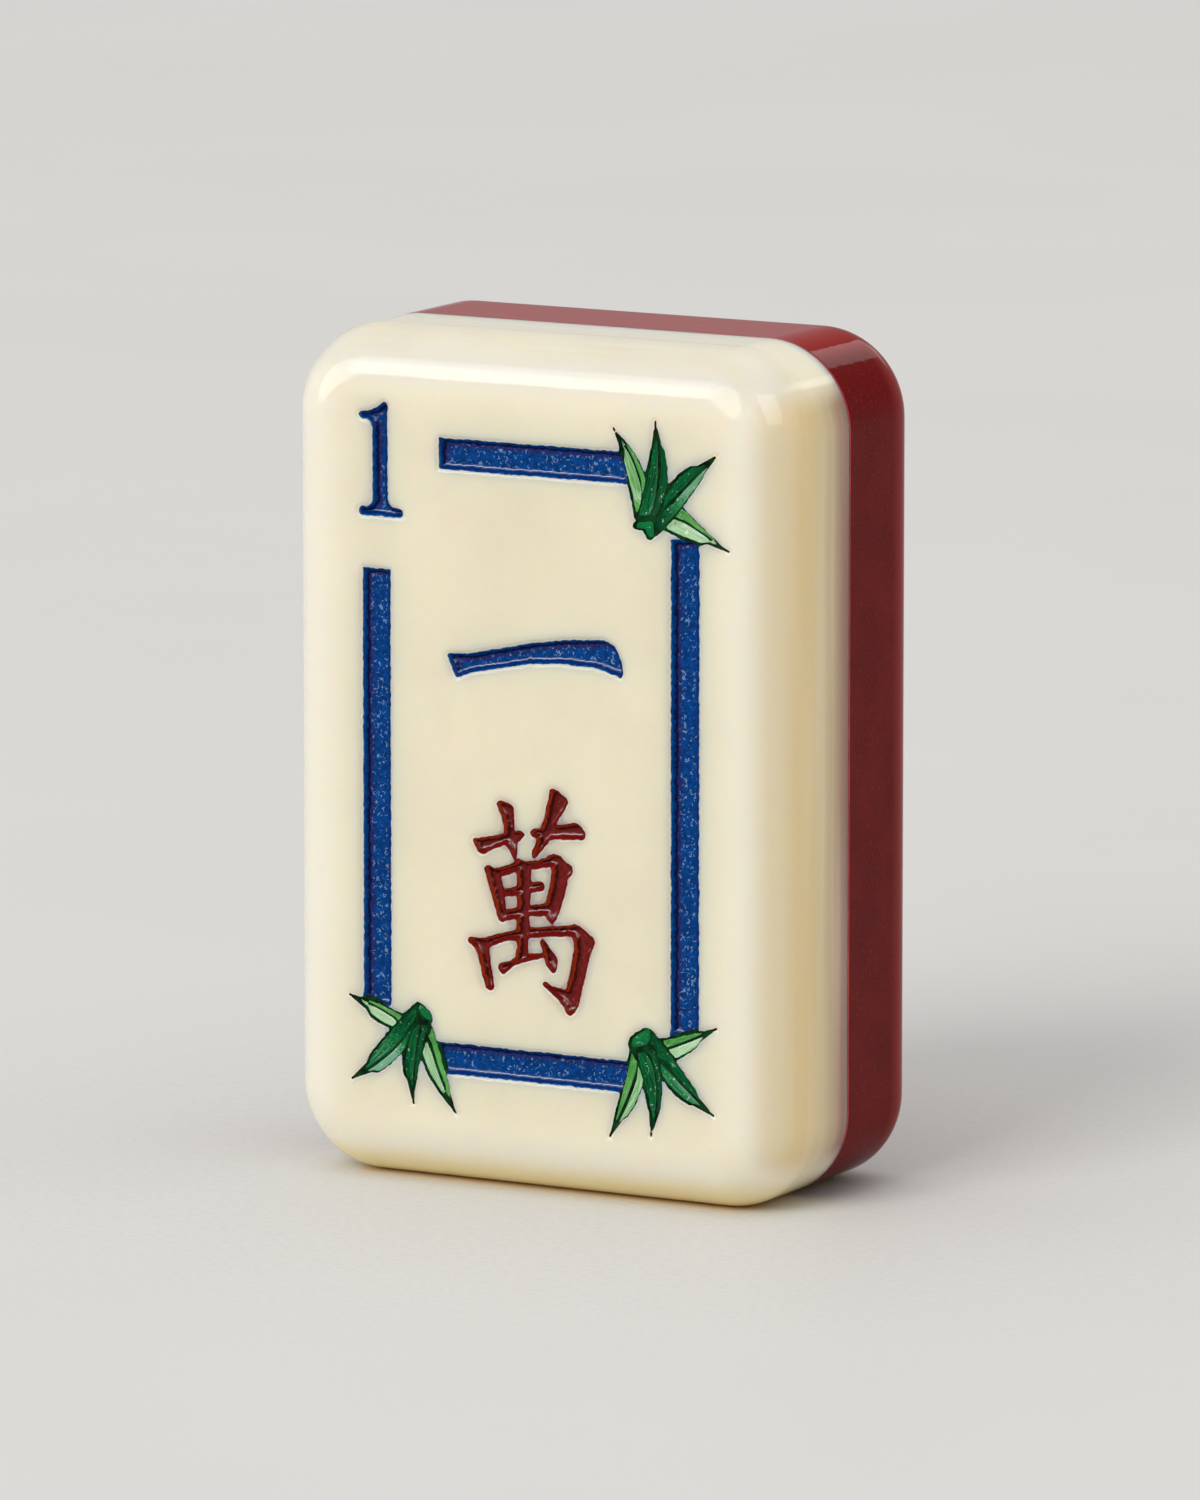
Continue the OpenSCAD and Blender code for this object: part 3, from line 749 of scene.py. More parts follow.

# %% [markdown]
# The leaves are painted in a dark and a light green, and the halves of a leaf get
# different tones. A leaf's lower half is the paler one, a painted sheen for the half that
# faces up to the lamps. The table gives the paleness of the upper and lower half, and how
# much of the length from the base stays dark. The numbers were judged one by one.

# %% Paleness of the leaves
LEAF_PALENESS_AND_SHEEN = {
    "top_right_up_leaf": (0.12, 0.30, 0.0),
    "top_right_side_leaf": (0.30, 0.84, 0.45),
    "top_right_left_leaf": (0.45, 0.68, 0.1),
    "top_right_low_leaf": (0.50, 0.98, 0.1),
    "bottom_left_down_leaf": (0.14, 0.26, 0.0),
    "bottom_left_side_leaf": (0.62, 0.92, 0.45),
    "bottom_left_upper_leaf": (0.52, 0.95, 0.1),
    "bottom_left_right_leaf": (0.50, 0.86, 0.1),
    "bottom_right_down_leaf": (0.14, 0.30, 0.0),
    "bottom_right_side_leaf": (0.26, 0.55, 0.3),
    "bottom_right_upper_leaf": (0.46, 0.93, 0.1),
    "bottom_right_left_leaf": (0.50, 0.78, 0.1),
}
STEM_PALENESS = 0.5


def paleness(node, half, along):
    if node not in LEAF_PALENESS_AND_SHEEN:
        return np.full(len(half), STEM_PALENESS)
    upper, lower, dark_until = LEAF_PALENESS_AND_SHEEN[node]
    # The lower half's higher paleness is a painted sheen.
    value = np.where(half < 0.5, upper, lower)
    rise = np.clip((along - dark_until + 0.2) / 0.3, 0, 1)
    floor_value = np.minimum(value, 0.22 if dark_until > 0.2 else 0.8 * value)
    return floor_value + (value - floor_value) * rise


print("leaves with tones:", len(LEAF_PALENESS_AND_SHEEN))

# %% [markdown]
# Each enamel piece takes its own triangles of the face, with the same exact normals. The
# thin dark lines have none, because they're too narrow to show a reflection.

# %% Enamel pieces
enamel = {}
for k, node in enumerate(PAINT_NODES):
    points, faces, normals, gone, lean_x, lean_z, share, half, along = kept(
        face_xyz, face_triangles[owner == k], face_normals, cut_distance, grad_x, grad_z,
        leaf_share, leaf_half, leaf_along)
    numbers = {"cut_distance": gone, "lean_x": lean_x, "lean_z": lean_z}
    if node in cell_fields:
        numbers.update(leaf_share=share, leaf_half=half, leaf_along=along,
                       leaf_pale=paleness(node, half, along))
    if node.endswith("_outline"):
        normals = None
    enamel[node] = make_piece(node.replace("_paint", "") + "_enamel", points, faces, normals, numbers)
print("enamel pieces:", len(enamel), "faces:", sum(len(p.data.polygons) for p in enamel.values()))

# %% [markdown]
# Each piece rides on the tile's one body and stands for the CAD node that it dresses.

# %% Tie the pieces to the frame
SLOTS = {entry["node"]: entry["material_slot"] for entry in frame["record"]["subparts"]}
dressed = {"front_block": cream_block, "back_block": red_block, **enamel}
for node, piece in dressed.items():
    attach(piece, "root")
    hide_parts(node)
print("dressed nodes:", len(dressed))

# %% [markdown]
# The finishes are built from nodes, and no picture is used. A few small helpers keep the
# cells short. The first puts a node in a tree and wires its inputs. A socket knows its
# tree, so only a node without a wired input has to be told. It takes colours as they look
# on a screen, from 0 to 255, and turns them into the linear light that Blender works with.
# The others mix two colours, turn a range of a value into a soft step, run a value through
# a row of colours, calculate, and read the numbers stored on a mesh.

# %% Helpers for nodes
def linear(r, g, b):
    parts = [v / 255 for v in (r, g, b)]
    return (*[v / 12.92 if v <= 0.04 else ((v + 0.055) / 1.055) ** 2.4 for v in parts], 1.0)


def is_socket(value):
    return isinstance(value, bpy.types.NodeSocket)


def put(kind, inputs, tree=None, **settings):
    if tree is None:
        tree = next(filter(is_socket, inputs.values())).id_data
    node = tree.nodes.new("ShaderNode" + kind)
    node.location = (190 * (len(tree.nodes) % 12), -260 * (len(tree.nodes) // 12))
    for key, value in settings.items():
        setattr(node, key, value)
    for key, value in inputs.items():
        socket = node.inputs[key]
        if is_socket(value):
            tree.links.new(value, socket)
        else:
            socket.default_value = linear(*value) if socket.type == "RGBA" else value
    return node


def mix(share, first, second, blend="MIX"):
    node = put("Mix", {0: share, 6: first, 7: second}, data_type="RGBA", blend_type=blend)
    return node.outputs[2]


def soft_step(value, low, high, start=0.0, end=1.0):
    return put("MapRange", {0: value, 1: low, 2: high, 3: start, 4: end},
               interpolation_type="SMOOTHSTEP").outputs[0]


def ramp(value, stops):
    node = put("ValToRGB", {0: value})
    elements = node.color_ramp.elements
    elements[0].position, elements[1].position = stops[0][0], stops[-1][0]
    for position, _ in stops[1:-1]:
        elements.new(position)
    for element, (_, color) in zip(elements, stops):
        element.color = linear(*color)
    return node.outputs[0]


def calculate(operation, first, second=0.0):
    return put("Math", {0: first, 1: second}, operation=operation).outputs[0]


def times(first, second):
    return calculate("MULTIPLY", first, second)


def vector(operation, first, second=(0, 0, 0)):
    return put("VectorMath", {0: first, 1: second}, operation=operation).outputs[0]


def millimetres(tree):
    where = put("TexCoord", {}, tree).outputs["Object"]
    return put("VectorMath", {0: where, "Scale": 1 / MM}, operation="SCALE").outputs[0]


def noise(place, per_mm, detail, distortion=0.0):
    return put("TexNoise", {"Vector": place, "Scale": per_mm, "Detail": detail,
                            "Distortion": distortion}).outputs[0]


def link(source, target):
    source.id_data.links.new(source, target)


def stored(tree, name):
    return put("Attribute", {}, tree, attribute_name=name).outputs["Fac"]


print("middle grey in linear light:", round(linear(128, 128, 128)[0], 3))

# %% [markdown]
# An effect that several finishes share is a node group, built once and placed with other
# values in each material. Its sockets are made on the group's interface. An input whose
# default is white is a colour, and any other input a number.

# %% Start a node group
FLOAT, COLOUR = "NodeSocketFloat", "NodeSocketColor"
WHITE = (1, 1, 1, 1)


def new_group(name, inputs, outputs):
    tree = bpy.data.node_groups.new(name, "ShaderNodeTree")
    for label, default in inputs.items():
        kind = COLOUR if default == WHITE else FLOAT
        socket = tree.interface.new_socket(label, in_out="INPUT", socket_type=kind)
        socket.default_value = default
    for label in outputs:
        kind = COLOUR if label == "Color" else FLOAT
        tree.interface.new_socket(label, in_out="OUTPUT", socket_type=kind)
    return tree, tree.nodes.new("NodeGroupInput").outputs, tree.nodes.new("NodeGroupOutput").inputs


def place(tree, group, inputs):
    return put("Group", inputs, tree, node_tree=group).outputs


print("group sockets:", FLOAT, COLOUR)

# %% [markdown]
# Cast plastic and thick enamel are never one even colour. The mottle group puts out a
# soft value between two limits, and each material multiplies its colour or its roughness
# by it.

# %% Mottle group
tree, taken, given = new_group("mottle", {"Per mm": 1.0, "Low": 0.0, "High": 1.0}, ["Value"])
mottle = tree
cloud = noise(millimetres(tree), taken["Per mm"], 3.0)
link(soft_step(cloud, 0.32, 0.68, taken["Low"], taken["High"]), given["Value"])


def mottled(tree, per_mm, low=0.0, high=1.0):
    return place(tree, mottle, {"Per mm": per_mm, "Low": low, "High": high})["Value"]


print("mottle nodes:", len(mottle.nodes))

# %% [markdown]
# The enamel's floor is full of fine glints, short and crooked like grains. Noise with
# some distortion has that shape where only its highest values are kept.

# %% Speckle group
tree, taken, given = new_group("speckle", {"Per mm": 8.0, "Threshold": 0.6, "Softness": 0.04}, ["Mask"])
speckle = tree
grain = noise(millimetres(tree), taken["Per mm"], 1.0, 0.8)
high = calculate("ADD", taken["Threshold"], taken["Softness"])
link(soft_step(grain, taken["Threshold"], high), given["Mask"])


def speckled(tree, per_mm, threshold, softness):
    return place(tree, speckle, {"Per mm": per_mm, "Threshold": threshold, "Softness": softness})["Mask"]


print("speckle nodes:", len(speckle.nodes))

# %% [markdown]
# A handled tile carries a few specks of dust and tiny pits. Each cell of a Voronoi
# pattern has one middle point, and only the cells with a high random value keep theirs.

# %% Dust group
tree, taken, given = new_group("dust", {"Per mm": 2.0, "Size": 0.05, "Share": 0.2}, ["Mask"])
dust = tree
cells = put("TexVoronoi", {"Vector": millimetres(tree), "Scale": taken["Per mm"]}).outputs
picked = put("SeparateColor", {0: cells["Color"]}).outputs[0]
spot = soft_step(cells["Distance"], taken["Size"], 0.0)
link(times(spot, calculate("LESS_THAN", picked, taken["Share"])), given["Mask"])
print("dust nodes:", len(dust.nodes))

# %% [markdown]
# Enamel in a cut isn't one colour. It's thin and bright over the rim. The corner between
# wall and floor on the upper and left sides, and a band of the floor along the left and
# upper walls, are painted darker: a painted shade of the walls that turn away from the
# light. The group reads the distance from the cut's outline that was stored on the mesh,
# and the direction in which the wall leans.

# %% Paint group
LAYERS = ("Rim", "Wall", "Lower Wall", "Corner Shade", "Upper Left Shade", "Floor")
tree, taken, given = new_group(
    "paint_in_a_cut", dict.fromkeys(LAYERS, WHITE), ["Color", "Ledge", "Floor Mask"])
paint = tree
wobble = soft_step(noise(millimetres(tree), 5.0, 2.0), 0.3, 0.7, -0.025, 0.025)
gone = calculate("ADD", stored(tree, "cut_distance"), wobble)
lean = calculate("SUBTRACT", stored(tree, "lean_x"), stored(tree, "lean_z"))
upper_left = soft_step(lean, 0.0, 0.8)
wall = mix(upper_left, taken["Lower Wall"], taken["Wall"])
shade = mix(soft_step(gone, 0.0, 0.05), taken["Rim"], wall)
# Painted shade: the upper-left corner and a floor band along the upper and left walls.
corner_shade = times(soft_step(gone, 0.07, 0.13), upper_left)
shade = mix(corner_shade, shade, taken["Corner Shade"])
shade_reach = soft_step(upper_left, 0.0, 1.0, 0.20, 0.36)
shade_start = calculate("SUBTRACT", shade_reach, 0.12)
deep = mix(soft_step(gone, shade_start, shade_reach), taken["Upper Left Shade"], taken["Floor"])
shade = mix(soft_step(gone, 0.15, 0.20), shade, deep)
link(shade, given["Color"])
band = times(soft_step(gone, 0.08, 0.11), soft_step(gone, 0.22, 0.19))
low_wall = soft_step(stored(tree, "lean_z"), 0.3, 0.8)
link(times(low_wall, band), given["Ledge"])
link(soft_step(gone, 0.19, 0.26), given["Floor Mask"])
print("paint nodes:", len(paint.nodes))

# %% [markdown]
# The leaves are tinted by the paleness stored on them, and the palest tone is a painted
# sheen. Streaks run from the base to the tip, so their noise is stretched along the leaf,
# and the tip ends dark.

# %% Leaf group
tree, taken, given = new_group(
    "leaf_tone", dict.fromkeys(("Deep", "Middle", "Pale Sheen", "Tip"), WHITE), ["Color", "Vein", "Shine"])
leaf_tone = tree
across, along = stored(tree, "leaf_share"), stored(tree, "leaf_along")
pale = stored(tree, "leaf_pale")
streak_place = put("CombineXYZ", {
    0: times(across, 4.0), 1: times(along, 1.6), 2: times(pale, 17.0)}).outputs[0]
vein = noise(streak_place, 2.2, 3.0)
shown = calculate("ADD", pale, soft_step(vein, 0.3, 0.7, -0.22, 0.22))
tone = mix(soft_step(shown, 0.05, 0.55), taken["Deep"], taken["Middle"])
tone = mix(soft_step(shown, 0.5, 1.0), tone, taken["Pale Sheen"])
link(mix(soft_step(along, 0.92, 1.0), tone, taken["Tip"]), given["Color"])
link(vein, given["Vein"])
lower_half = soft_step(stored(tree, "leaf_half"), 0.4, 0.6)
shine = times(lower_half, soft_step(across, 0.34, 0.2))
link(times(shine, pale), given["Shine"])
print("leaf nodes:", len(leaf_tone.nodes))

# %% [markdown]
# Every material starts the same way: a Principled shader with the numbers that are the
# same all over its surface set on its own sockets. Most end the same way too, with specks
# of dust over the colour, and the two plastics with an uneven polish and a faint ripple.

# %% Start a material
def new_material(name, **numbers):
    material = bpy.data.materials.new(name)
    material.use_nodes = True
    tree = material.node_tree
    shader = tree.nodes["Principled BSDF"]
    for key, value in numbers.items():
        shader.inputs[key.replace("_", " ").title().replace("Ior", "IOR")].default_value = value
    return material, tree, shader.inputs


def finish_color(tree, shader, color, speck_color, per_mm, size, share):
    specks = place(tree, dust, {"Per mm": per_mm, "Size": size, "Share": share})["Mask"]
    link(mix(specks, color, speck_color), shader["Base Color"])


def add_bump(shader, height, strength, depth):
    bump = put("Bump", {"Height": height, "Strength": strength, "Distance": depth})
    link(bump.outputs[0], shader["Normal"])


def polish(tree, shader, roughness_per_mm, low, high, ripples_per_mm):
    link(mottled(tree, roughness_per_mm, low, high), shader["Roughness"])
    add_bump(shader, mottled(tree, ripples_per_mm), 0.35, 0.000004)


print("start of a material is ready")

# %% [markdown]
# The cream block is a cast resin that imitates bone. Light goes in and comes out
# warmer a millimetre or two away, which is what Subsurface does. Its sides are painted
# ochre, then greyish pink and darker where the red layer shows through, so a row of
# colours runs from the face to the joint, crossed by faint upright streaks: a painted
# shade for the sides that turn away from the lamps and for the joint. The top has paler
# streaks along its length. The rolled edges of the face get a pale painted sheen, and the
# front roll is toned down a little, a painted shade, because most lamps shine on it. A
# painted glow makes the plastic yellow where it meets the card. Near the joint it is
# painted darker, round every cut it gets a grey painted shade, and on the rim of each cut
# a pale painted highlight. Close to the red figure a trace of paint tints it, most where
# strokes enclose it.

# %% Cream plastic
# Painted shade: the sides run darker and more ochre from the face to the joint.
SIDE_SHADE_TONES = [(0.0, (226, 219, 196)), (0.09, (224, 213, 183)), (0.17, (223, 210, 177)),
              (0.27, (219, 200, 156)), (0.41, (214, 193, 145)), (0.58, (206, 188, 145)),
              (0.77, (184, 161, 127)), (0.9, (154, 115, 92)), (1.0, (116, 62, 55))]
cream, tree, shader = new_material(
    "cream_plastic", subsurface_weight=1.0, subsurface_radius=(1.0, 0.7, 0.4),
    subsurface_scale=0.0014, specular_ior_level=0.60)
x, y, z = put("SeparateXYZ", {0: millimetres(tree)}).outputs
from_middle = calculate("ABSOLUTE", calculate("SUBTRACT", z, height / 2))
edge_x = soft_step(calculate("ABSOLUTE", x), half_width - 3.6, half_width - 0.8)
edge_z = times(soft_step(from_middle, height / 2 - 3.0, height / 2 - 0.8),
               soft_step(y, face_y + 1.1, face_y + 0.2))
# Painted sheen: the rolled edges of the face are made paler.
pale_edge_sheen = times(calculate("MAXIMUM", edge_x, edge_z),
                  soft_step(y, face_y + 2.4, face_y + 0.6))
to_left = times(soft_step(x, -8.2, -9.3), soft_step(y, face_y + 1.3, face_y + 2.5))
to_side = calculate("MAXIMUM", to_left, soft_step(x, 8.2, 9.3))
on_side = times(to_side, soft_step(from_middle, height / 2 - 1.0, height / 2 - 2.2))
to_joint = put("MapRange", {0: y, 1: face_y, 2: cream_seam_y}).outputs[0]
tall = noise(vector("MULTIPLY", millimetres(tree), (1.5, 1.5, 0.08)), 1.0, 1.0)
wide = noise(vector("MULTIPLY", millimetres(tree), (0.09, 2.4, 1.0)), 1.0, 2.0)
on_top = soft_step(z, height - 1.2, height - 0.3)
crown = times(soft_step(z, height - 2.2, height - 0.9),
              soft_step(y, face_y + 2.8, face_y + 1.6))
red_near = stored(tree, "red_near")
enclosed = soft_step(red_near, 0.34, 0.52)
# Painted highlight: a pale line on the rim of each cut.
rim_highlight = times(soft_step(stored(tree, "cut_distance"), -0.09, -0.02, 0.0, 0.85),
               soft_step(enclosed, 0.0, 1.0, 1.0, 0.3))
color = mix(mottled(tree, 0.35), (232, 223, 198), (236, 227, 201))
for share, tint, *blend in [
    (pale_edge_sheen, (237, 232, 217)),
    # Painted shade on the sides, darkest at the joint.
    (on_side, ramp(to_joint, SIDE_SHADE_TONES)),
    (times(soft_step(tall, 0.4, 0.75, 0.0, 0.25), on_side), (226, 214, 186)),
    (times(on_top, soft_step(y, face_y + 1.6, face_y + 2.8)), (233, 225, 202)),
    (times(soft_step(wide, 0.45, 0.7, 0.0, 0.4), on_top), (240, 234, 220)),
    # Painted shade: the front roll is toned down where most lamps shine on it.
    (crown, (238, 240, 244), "MULTIPLY"),
    # Painted shade: darker close to the joint.
    (soft_step(y, cream_seam_y - 0.6, cream_seam_y, 0.0, 0.3), (150, 110, 94)),
    # Painted glow: warm yellow near the card.
    (soft_step(z, 1.5, 0.2), (240, 222, 166)),
    # Painted shade: grey round every cut.
    (soft_step(stored(tree, "paint_near"), 0.02, 0.5, 0.0, 0.55), (207, 197, 172)),
    (soft_step(red_near, 0.03, 0.3, 0.0, 0.7), (226, 204, 174)),
    (times(enclosed, 0.9), (196, 166, 152)),
    # Painted highlight on the rims.
    (rim_highlight, (254, 242, 218)),
]:
    color = mix(share, color, tint, *blend)
finish_color(tree, shader, color, (186, 168, 132), per_mm=0.8, size=0.035, share=0.16)
polish(tree, shader, 1.4, 0.025, 0.055, 2.2)
print("cream nodes:", len(tree.nodes))

# %% [markdown]
# The red block is an opaque plastic with a softer polish. It reflects little, so its
# specular level is low, and the colour stays deep even where the floor mirrors in it.
# Its colour also carries painted light and shade: deeper and more saturated towards the
# top and bottom edges, redder and lighter where it faces up to the lamps, and lighter just
# before the back edge, which is a painted highlight.

# %% Dark red plastic
red, tree, shader = new_material("dark_red_plastic", specular_ior_level=0.025)
x, y, z = put("SeparateXYZ", {0: millimetres(tree)}).outputs
up = put("SeparateXYZ", {0: put("NewGeometry", {}, tree).outputs["Normal"]}).outputs[2]
from_middle = calculate("ABSOLUTE", calculate("SUBTRACT", z, height / 2))
grains = speckled(tree, 9.0, 0.6, 0.08)
color = mix(mottled(tree, 0.5), (90, 21, 21), (99, 24, 23))
for share, tint in [
    # Painted shading: deeper, more saturated red towards the top and bottom edges.
    (soft_step(from_middle, height / 2 - 3.6, height / 2 - 1.4), (98, 6, 6)),
    # Painted light: redder and lighter where the surface faces up.
    (soft_step(up, 0.70, 0.96), (140, 24, 19)),
    # Painted highlight: lighter just before the back edge.
    (soft_step(y, back_y - 2.2, back_y - 1.3), (126, 48, 45)),
    (times(grains, 0.4), (126, 42, 38)),
]:
    color = mix(share, color, tint)
finish_color(tree, shader, color, (150, 84, 76), per_mm=1.3, size=0.045, share=0.22)
polish(tree, shader, 1.1, 0.03, 0.08, 1.6)
print("red nodes:", len(tree.nodes))

# %% [markdown]
# The glue shows as a hair-thin line between the blocks, brighter than the red plastic.
# Its bright red and pale pink specks are the glue's own colour and also a painted
# highlight along the seam's edge.

# %% Glue line
glue, tree, shader = new_material("red_glue", roughness=0.3, specular_ior_level=0.2)
# Painted highlight in part: bright red and pale pink specks along the seam.
color = mix(mottled(tree, 1.2), (138, 24, 22), (172, 38, 34))
finish_color(tree, shader, color, (205, 120, 108), per_mm=1.6, size=0.06, share=0.2)
print("glue nodes:", len(tree.nodes))

# %% [markdown]
# Both enamels of the plain figures use the paint group. Their floor is uneven on purpose:
# the speckle group drives a bump and the glossy coat, so grains catch the light, and it
# also paints pale grains into the colour, which are painted glints. The coat also lies on
# the ledge at the foot of each lower wall, which is the thin bright line there.

# %% Blue and brown-red enamel
def enamel_material(name, colors, painted_glint_color, grain_cover, painted_glint_strength):
    material, tree, shader = new_material(
        name, roughness=0.25, specular_ior_level=0.06, coat_ior=2.0, coat_roughness=0.1)
    layers = place(tree, paint, dict(zip(LAYERS, colors)))
    cloud = mottled(tree, 6.0, 0.72, 1.25)
    cloud_color = put("CombineColor", {0: cloud, 1: cloud, 2: cloud}).outputs[0]
    clouded = mix(1.0, layers["Color"], cloud_color, "MULTIPLY")
    color = mix(layers["Floor Mask"], layers["Color"], clouded)
    grains = times(speckled(tree, 9.0, grain_cover, 0.05), layers["Floor Mask"])
    # Painted glints: pale grains mixed into the floor colour.
    color = mix(times(grains, painted_glint_strength), color, painted_glint_color)
    finish_color(tree, shader, color, (200, 205, 215), per_mm=2.0, size=0.05, share=0.12)
    link(calculate("MAXIMUM", layers["Ledge"], grains), shader["Coat Weight"])
    add_bump(shader, grains, 0.4, 0.00001)
    print(name, "nodes:", len(tree.nodes))
    return material


# In both lists the fourth and fifth colours, for the corner and the band along the upper and left walls,
# are painted shade.
blue = enamel_material(
    "blue_enamel",
    [(16, 88, 152), (0, 58, 124), (2, 44, 110), (2, 14, 60), (36, 42, 102), (0, 58, 123)],
    (112, 160, 214), 0.62, 0.38)
brown = enamel_material(
    "brown_red_enamel",
    [(112, 18, 12), (150, 46, 18), (112, 18, 16), (60, 8, 10), (100, 25, 23), (113, 30, 27)],
    (190, 110, 104), 0.70, 0.35)

# %% [markdown]
# The leaf enamels are glossy but thin. Their grain runs along the leaf, as a brush
# leaves it, and the paler halves shine near the rib. Pale specks in their colour are
# painted glints.

# %% Leaf and line enamel
def leaf_material(name, deep, middle, pale):
    material, tree, shader = new_material(
        name, roughness=0.3, specular_ior_level=0.06, coat_ior=1.8, coat_roughness=0.12)
    layers = place(tree, leaf_tone, {"Deep": deep, "Middle": middle, "Pale Sheen": pale, "Tip": (9, 42, 18)})
    grains = speckled(tree, 8.0, 0.68, 0.04)
    # Painted glints: pale specks mixed into the colour.
    color = mix(times(grains, 0.5), layers["Color"], (190, 225, 200))
    finish_color(tree, shader, color, (215, 235, 215), per_mm=2.4, size=0.05, share=0.12)
    link(calculate("MAXIMUM", layers["Shine"], grains), shader["Coat Weight"])
    add_bump(shader, layers["Vein"], 0.4, 0.00001)
    print(name, "nodes:", len(tree.nodes))
    return material


dark_leaf = leaf_material("dark_leaf_enamel", (0, 66, 32), (10, 116, 60), (116, 168, 134))
light_leaf = leaf_material("light_leaf_enamel", (14, 98, 46), (88, 164, 78), (172, 206, 164))
line, tree, shader = new_material("line_enamel", roughness=0.35, specular_ior_level=0.05)
color = mix(mottled(tree, 3.0), (3, 24, 9), (8, 62, 28))
finish_color(tree, shader, color, (90, 110, 80), per_mm=2.4, size=0.05, share=0.1)
SLOT_MATERIALS = {
    "cream_plastic": cream, "dark_red_plastic": red, "red_glue": glue, "blue_paint": blue,
    "brown_red_paint": brown, "dark_leaf_paint": dark_leaf, "light_leaf_paint": light_leaf,
    "line_paint": line,
}
for node, piece in dressed.items():
    piece.data.materials.append(SLOT_MATERIALS[SLOTS[node]])
frame["nodes"]["bond_layer"].material_slots[0].material = glue
print("pieces with a finish:", len(dressed) + 1)

# %% [markdown]
# The tile stands on a sheet of pale card. The sheet is large enough to fill the whole
# picture, a hair below the tile so that the two never share a plane, and it's matt with
# a faint cloudiness, so the background stays even and keeps the tile's soft shadow. The
# grain of the paper only shows round the tile, because farther off it would be blurred.
# Close to the tile's foot the card is painted warmer, a painted glow for the light that
# leaves the resin there.

# %% Card sheet
CARD_HALF = 3
CARD_DROP = 0.00002
CORNERS = [(-CARD_HALF, -CARD_HALF, 0), (CARD_HALF, -CARD_HALF, 0),
           (CARD_HALF, CARD_HALF, 0), (-CARD_HALF, CARD_HALF, 0)]
card_mesh = bpy.data.meshes.new("card_sheet")
card_mesh.from_pydata(CORNERS, [], [(0, 1, 2, 3)])
card_sheet = add_object("card_sheet", card_mesh)
card_sheet.location.z = -CARD_DROP
card, tree, shader = new_material("pale_card", roughness=0.6)
color = mix(mottled(tree, 0.03), (222, 220, 216), (224, 222, 218))
where = millimetres(tree)
from_tile = put("VectorMath", {0: where}, operation="LENGTH").outputs["Value"]
paper = times(mottled(tree, 3.5), soft_step(from_tile, 45.0, 15.0, 0.0, 0.6))
color = mix(paper, color, (215, 213, 209))
foot_front, foot_back = face_y + front_edge_radius, back_y - back_edge_radius
foot_y = (foot_front + foot_back) / 2
beyond = vector("ABSOLUTE", vector("SUBTRACT", where, (0, foot_y, 0)))
beyond = vector("SUBTRACT", beyond, (core_x, foot_back - foot_y, 0))
beyond = vector("MAXIMUM", beyond)
from_foot = put("VectorMath", {0: beyond}, operation="LENGTH").outputs["Value"]
# Painted glow: warm card round the tile's foot.
color = mix(soft_step(from_foot, 1.5, 0.4), color, (240, 212, 168))
link(color, shader["Base Color"])
card_sheet.data.materials.append(card)
print("card sheet is", 2 * CARD_HALF, "m wide")

# %% [markdown]
# The light is that of a room with windows on most sides: an even pale world, and soft
# lamps between 20 and 40 degrees above the horizon. The rolled front edge mirrors the
# front windows as one white band. Two of them are ellipses, because the ends of that
# band are round. The windows at the right and behind show at the right corner and on
# the red block. Their places were read from where these reflections lie, since a mirror
# direction follows from the edge's normal.
#
# Some windows are only there for one reflection. Light linking keeps their light on the
# pieces that they are meant for, so the card has one soft shadow and not four. The card
# gets its own lamp instead, and lamps that must not show in the polish are hidden from
# mirror rays.

# %% Daylight and windows
world = bpy.data.worlds.new("world")
bpy.context.scene.world = world
world.use_nodes = True
background = world.node_tree.nodes["Background"].inputs
background["Color"].default_value = (0.985, 0.99, 1, 1)
background["Strength"].default_value = 0.52

LAMP_DISTANCE = 3.0
TILE_HEIGHT = 0.03
BLOCK_MIDDLE = Vector((0, 0, TILE_HEIGHT / 2))


def direction_to(azimuth, elevation):
    azimuth, elevation = math.radians(azimuth), math.radians(elevation)
    level = Vector((math.sin(azimuth), -math.cos(azimuth), 0))
    return level * math.cos(elevation) + Vector((0, 0, math.sin(elevation)))


def window_lamp(name, shape, azimuth, elevation, across, tall, lean, radiance):
    data = bpy.data.lights.new(name, "AREA")
    data.shape = shape
    data.size = 2 * LAMP_DISTANCE * math.tan(math.radians(across) / 2)
    data.size_y = 2 * LAMP_DISTANCE * math.tan(math.radians(tall) / 2)
    area = data.size * data.size_y * (math.pi / 4 if shape == "ELLIPSE" else 1)
    data.energy = radiance * math.pi * area
    lamp = add_object(name, data)
    direction = direction_to(azimuth, elevation)
    lamp.location = BLOCK_MIDDLE + direction * LAMP_DISTANCE
    turn = direction.to_track_quat("Z", "Y") @ Quaternion((0, 0, 1), -math.radians(lean))
    lamp.rotation_euler = turn.to_euler()
    return lamp


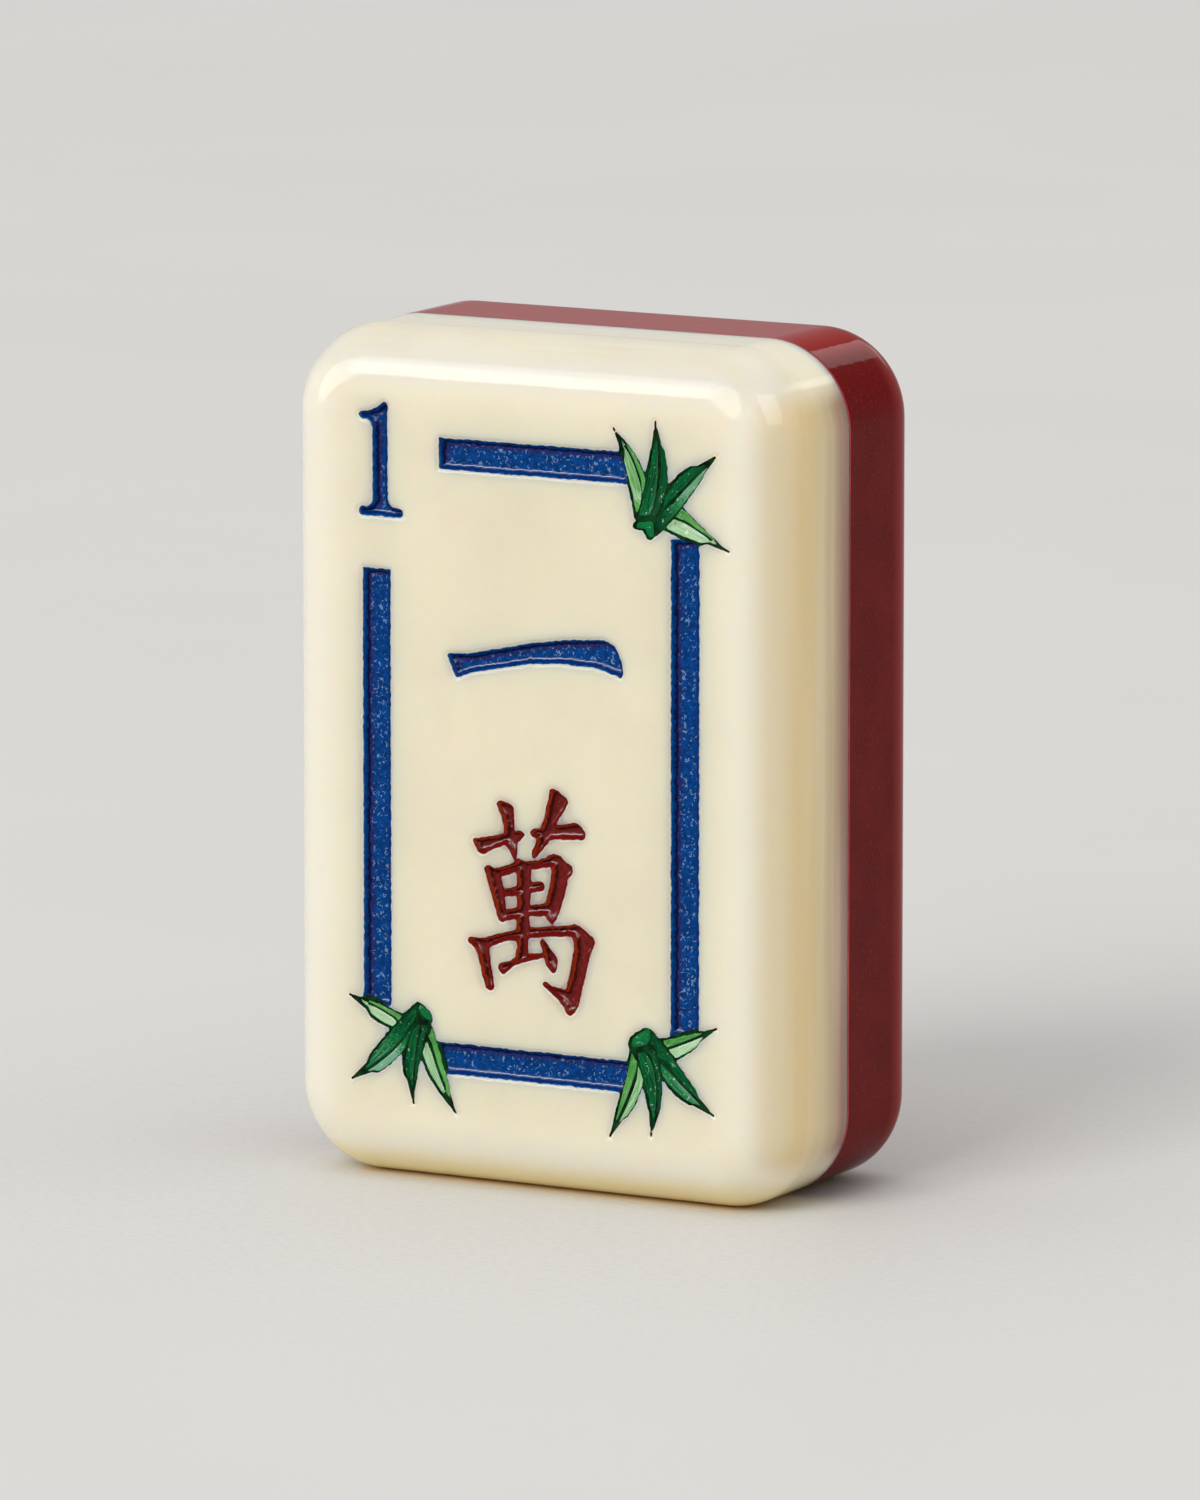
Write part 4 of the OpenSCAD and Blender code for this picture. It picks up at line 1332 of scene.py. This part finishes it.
WINDOWS = [
    ("window_left", "ELLIPSE", -54.3, 21, 32, 50, 42, 1.92),
    ("window_middle", "RECTANGLE", -35, 37.5, 19, 25, 0, 1.92),
    ("window_right", "ELLIPSE", -9, 32, 31, 42, 0, 1.95),
    ("side_window", "RECTANGLE", 61.5, 35, 30, 36, 0, 1.8),
    ("back_wall", "RECTANGLE", 138, 36, 42, 28, 0, 1.6),
    ("back_strip", "RECTANGLE", 143.9, 37.5, 44, 6, 31.7, 1.05),
    ("far_window", "RECTANGLE", 179.3, 24, 16, 16, 0, 2.8),
    ("ceiling", "RECTANGLE", 0, 90, 60, 60, 0, 0.66),
    ("card_light", "ELLIPSE", -9, 32, 31, 42, 0, 3.8),
]
windows = {name: window_lamp(name, *extent) for name, *extent in WINDOWS}
for name in ("back_wall", "ceiling", "card_light"):
    windows[name].visible_glossy = False
all_pieces = [*dressed.values(), frame["nodes"]["bond_layer"]]
LIT_ONLY = {"far_window": [red_block], "back_strip": [cream_block], "card_light": [card_sheet],
            "window_left": all_pieces, "window_middle": all_pieces, "side_window": all_pieces,
            "back_wall": all_pieces}
for name, pieces in LIT_ONLY.items():
    receivers = bpy.data.collections.new("lit_by_" + name)
    for piece in pieces:
        receivers.objects.link(piece)
    windows[name].light_linking.receiver_collection = receivers
print({name: round(lamp.data.energy, 2) for name, lamp in windows.items()})

# %% [markdown]
# The camera stands far off with a long lens, as for a product photograph, so upright
# edges stay upright. Its direction and aim were fitted to the outline of the tile's face.
# Its distance follows from two lengths in pixels of the photograph, which is 1500 pixels
# tall: that of the lens and that of the tile.

# %% Camera
LENS_PIXELS = 12500
TILE_PIXELS = 859.51
back = direction_to(28.971, 9.4915)
right = Vector((0, 0, 1)).cross(back).normalized()
up = back.cross(right)
target = BLOCK_MIDDLE + right * 0.001 * TILE_HEIGHT + up * 0.0007 * TILE_HEIGHT
camera_data = bpy.data.cameras.new("camera")
camera_data.sensor_fit = "VERTICAL"
camera_data.sensor_height = 36
camera_data.lens = 300
camera_data.clip_start = 0.01
camera = add_object("camera", camera_data)
camera.location = target + back * (LENS_PIXELS / TILE_PIXELS * TILE_HEIGHT)
camera.rotation_euler = back.to_track_quat("Z", "Y").to_euler()
bpy.context.scene.camera = camera
bpy.context.scene.view_settings.view_transform = "Standard"
print("camera", round((camera.location - BLOCK_MIDDLE).length, 3), "m away")

# %% [markdown]
# The last cell brings the scene up to date.

# %% Finish
bpy.context.view_layer.update()
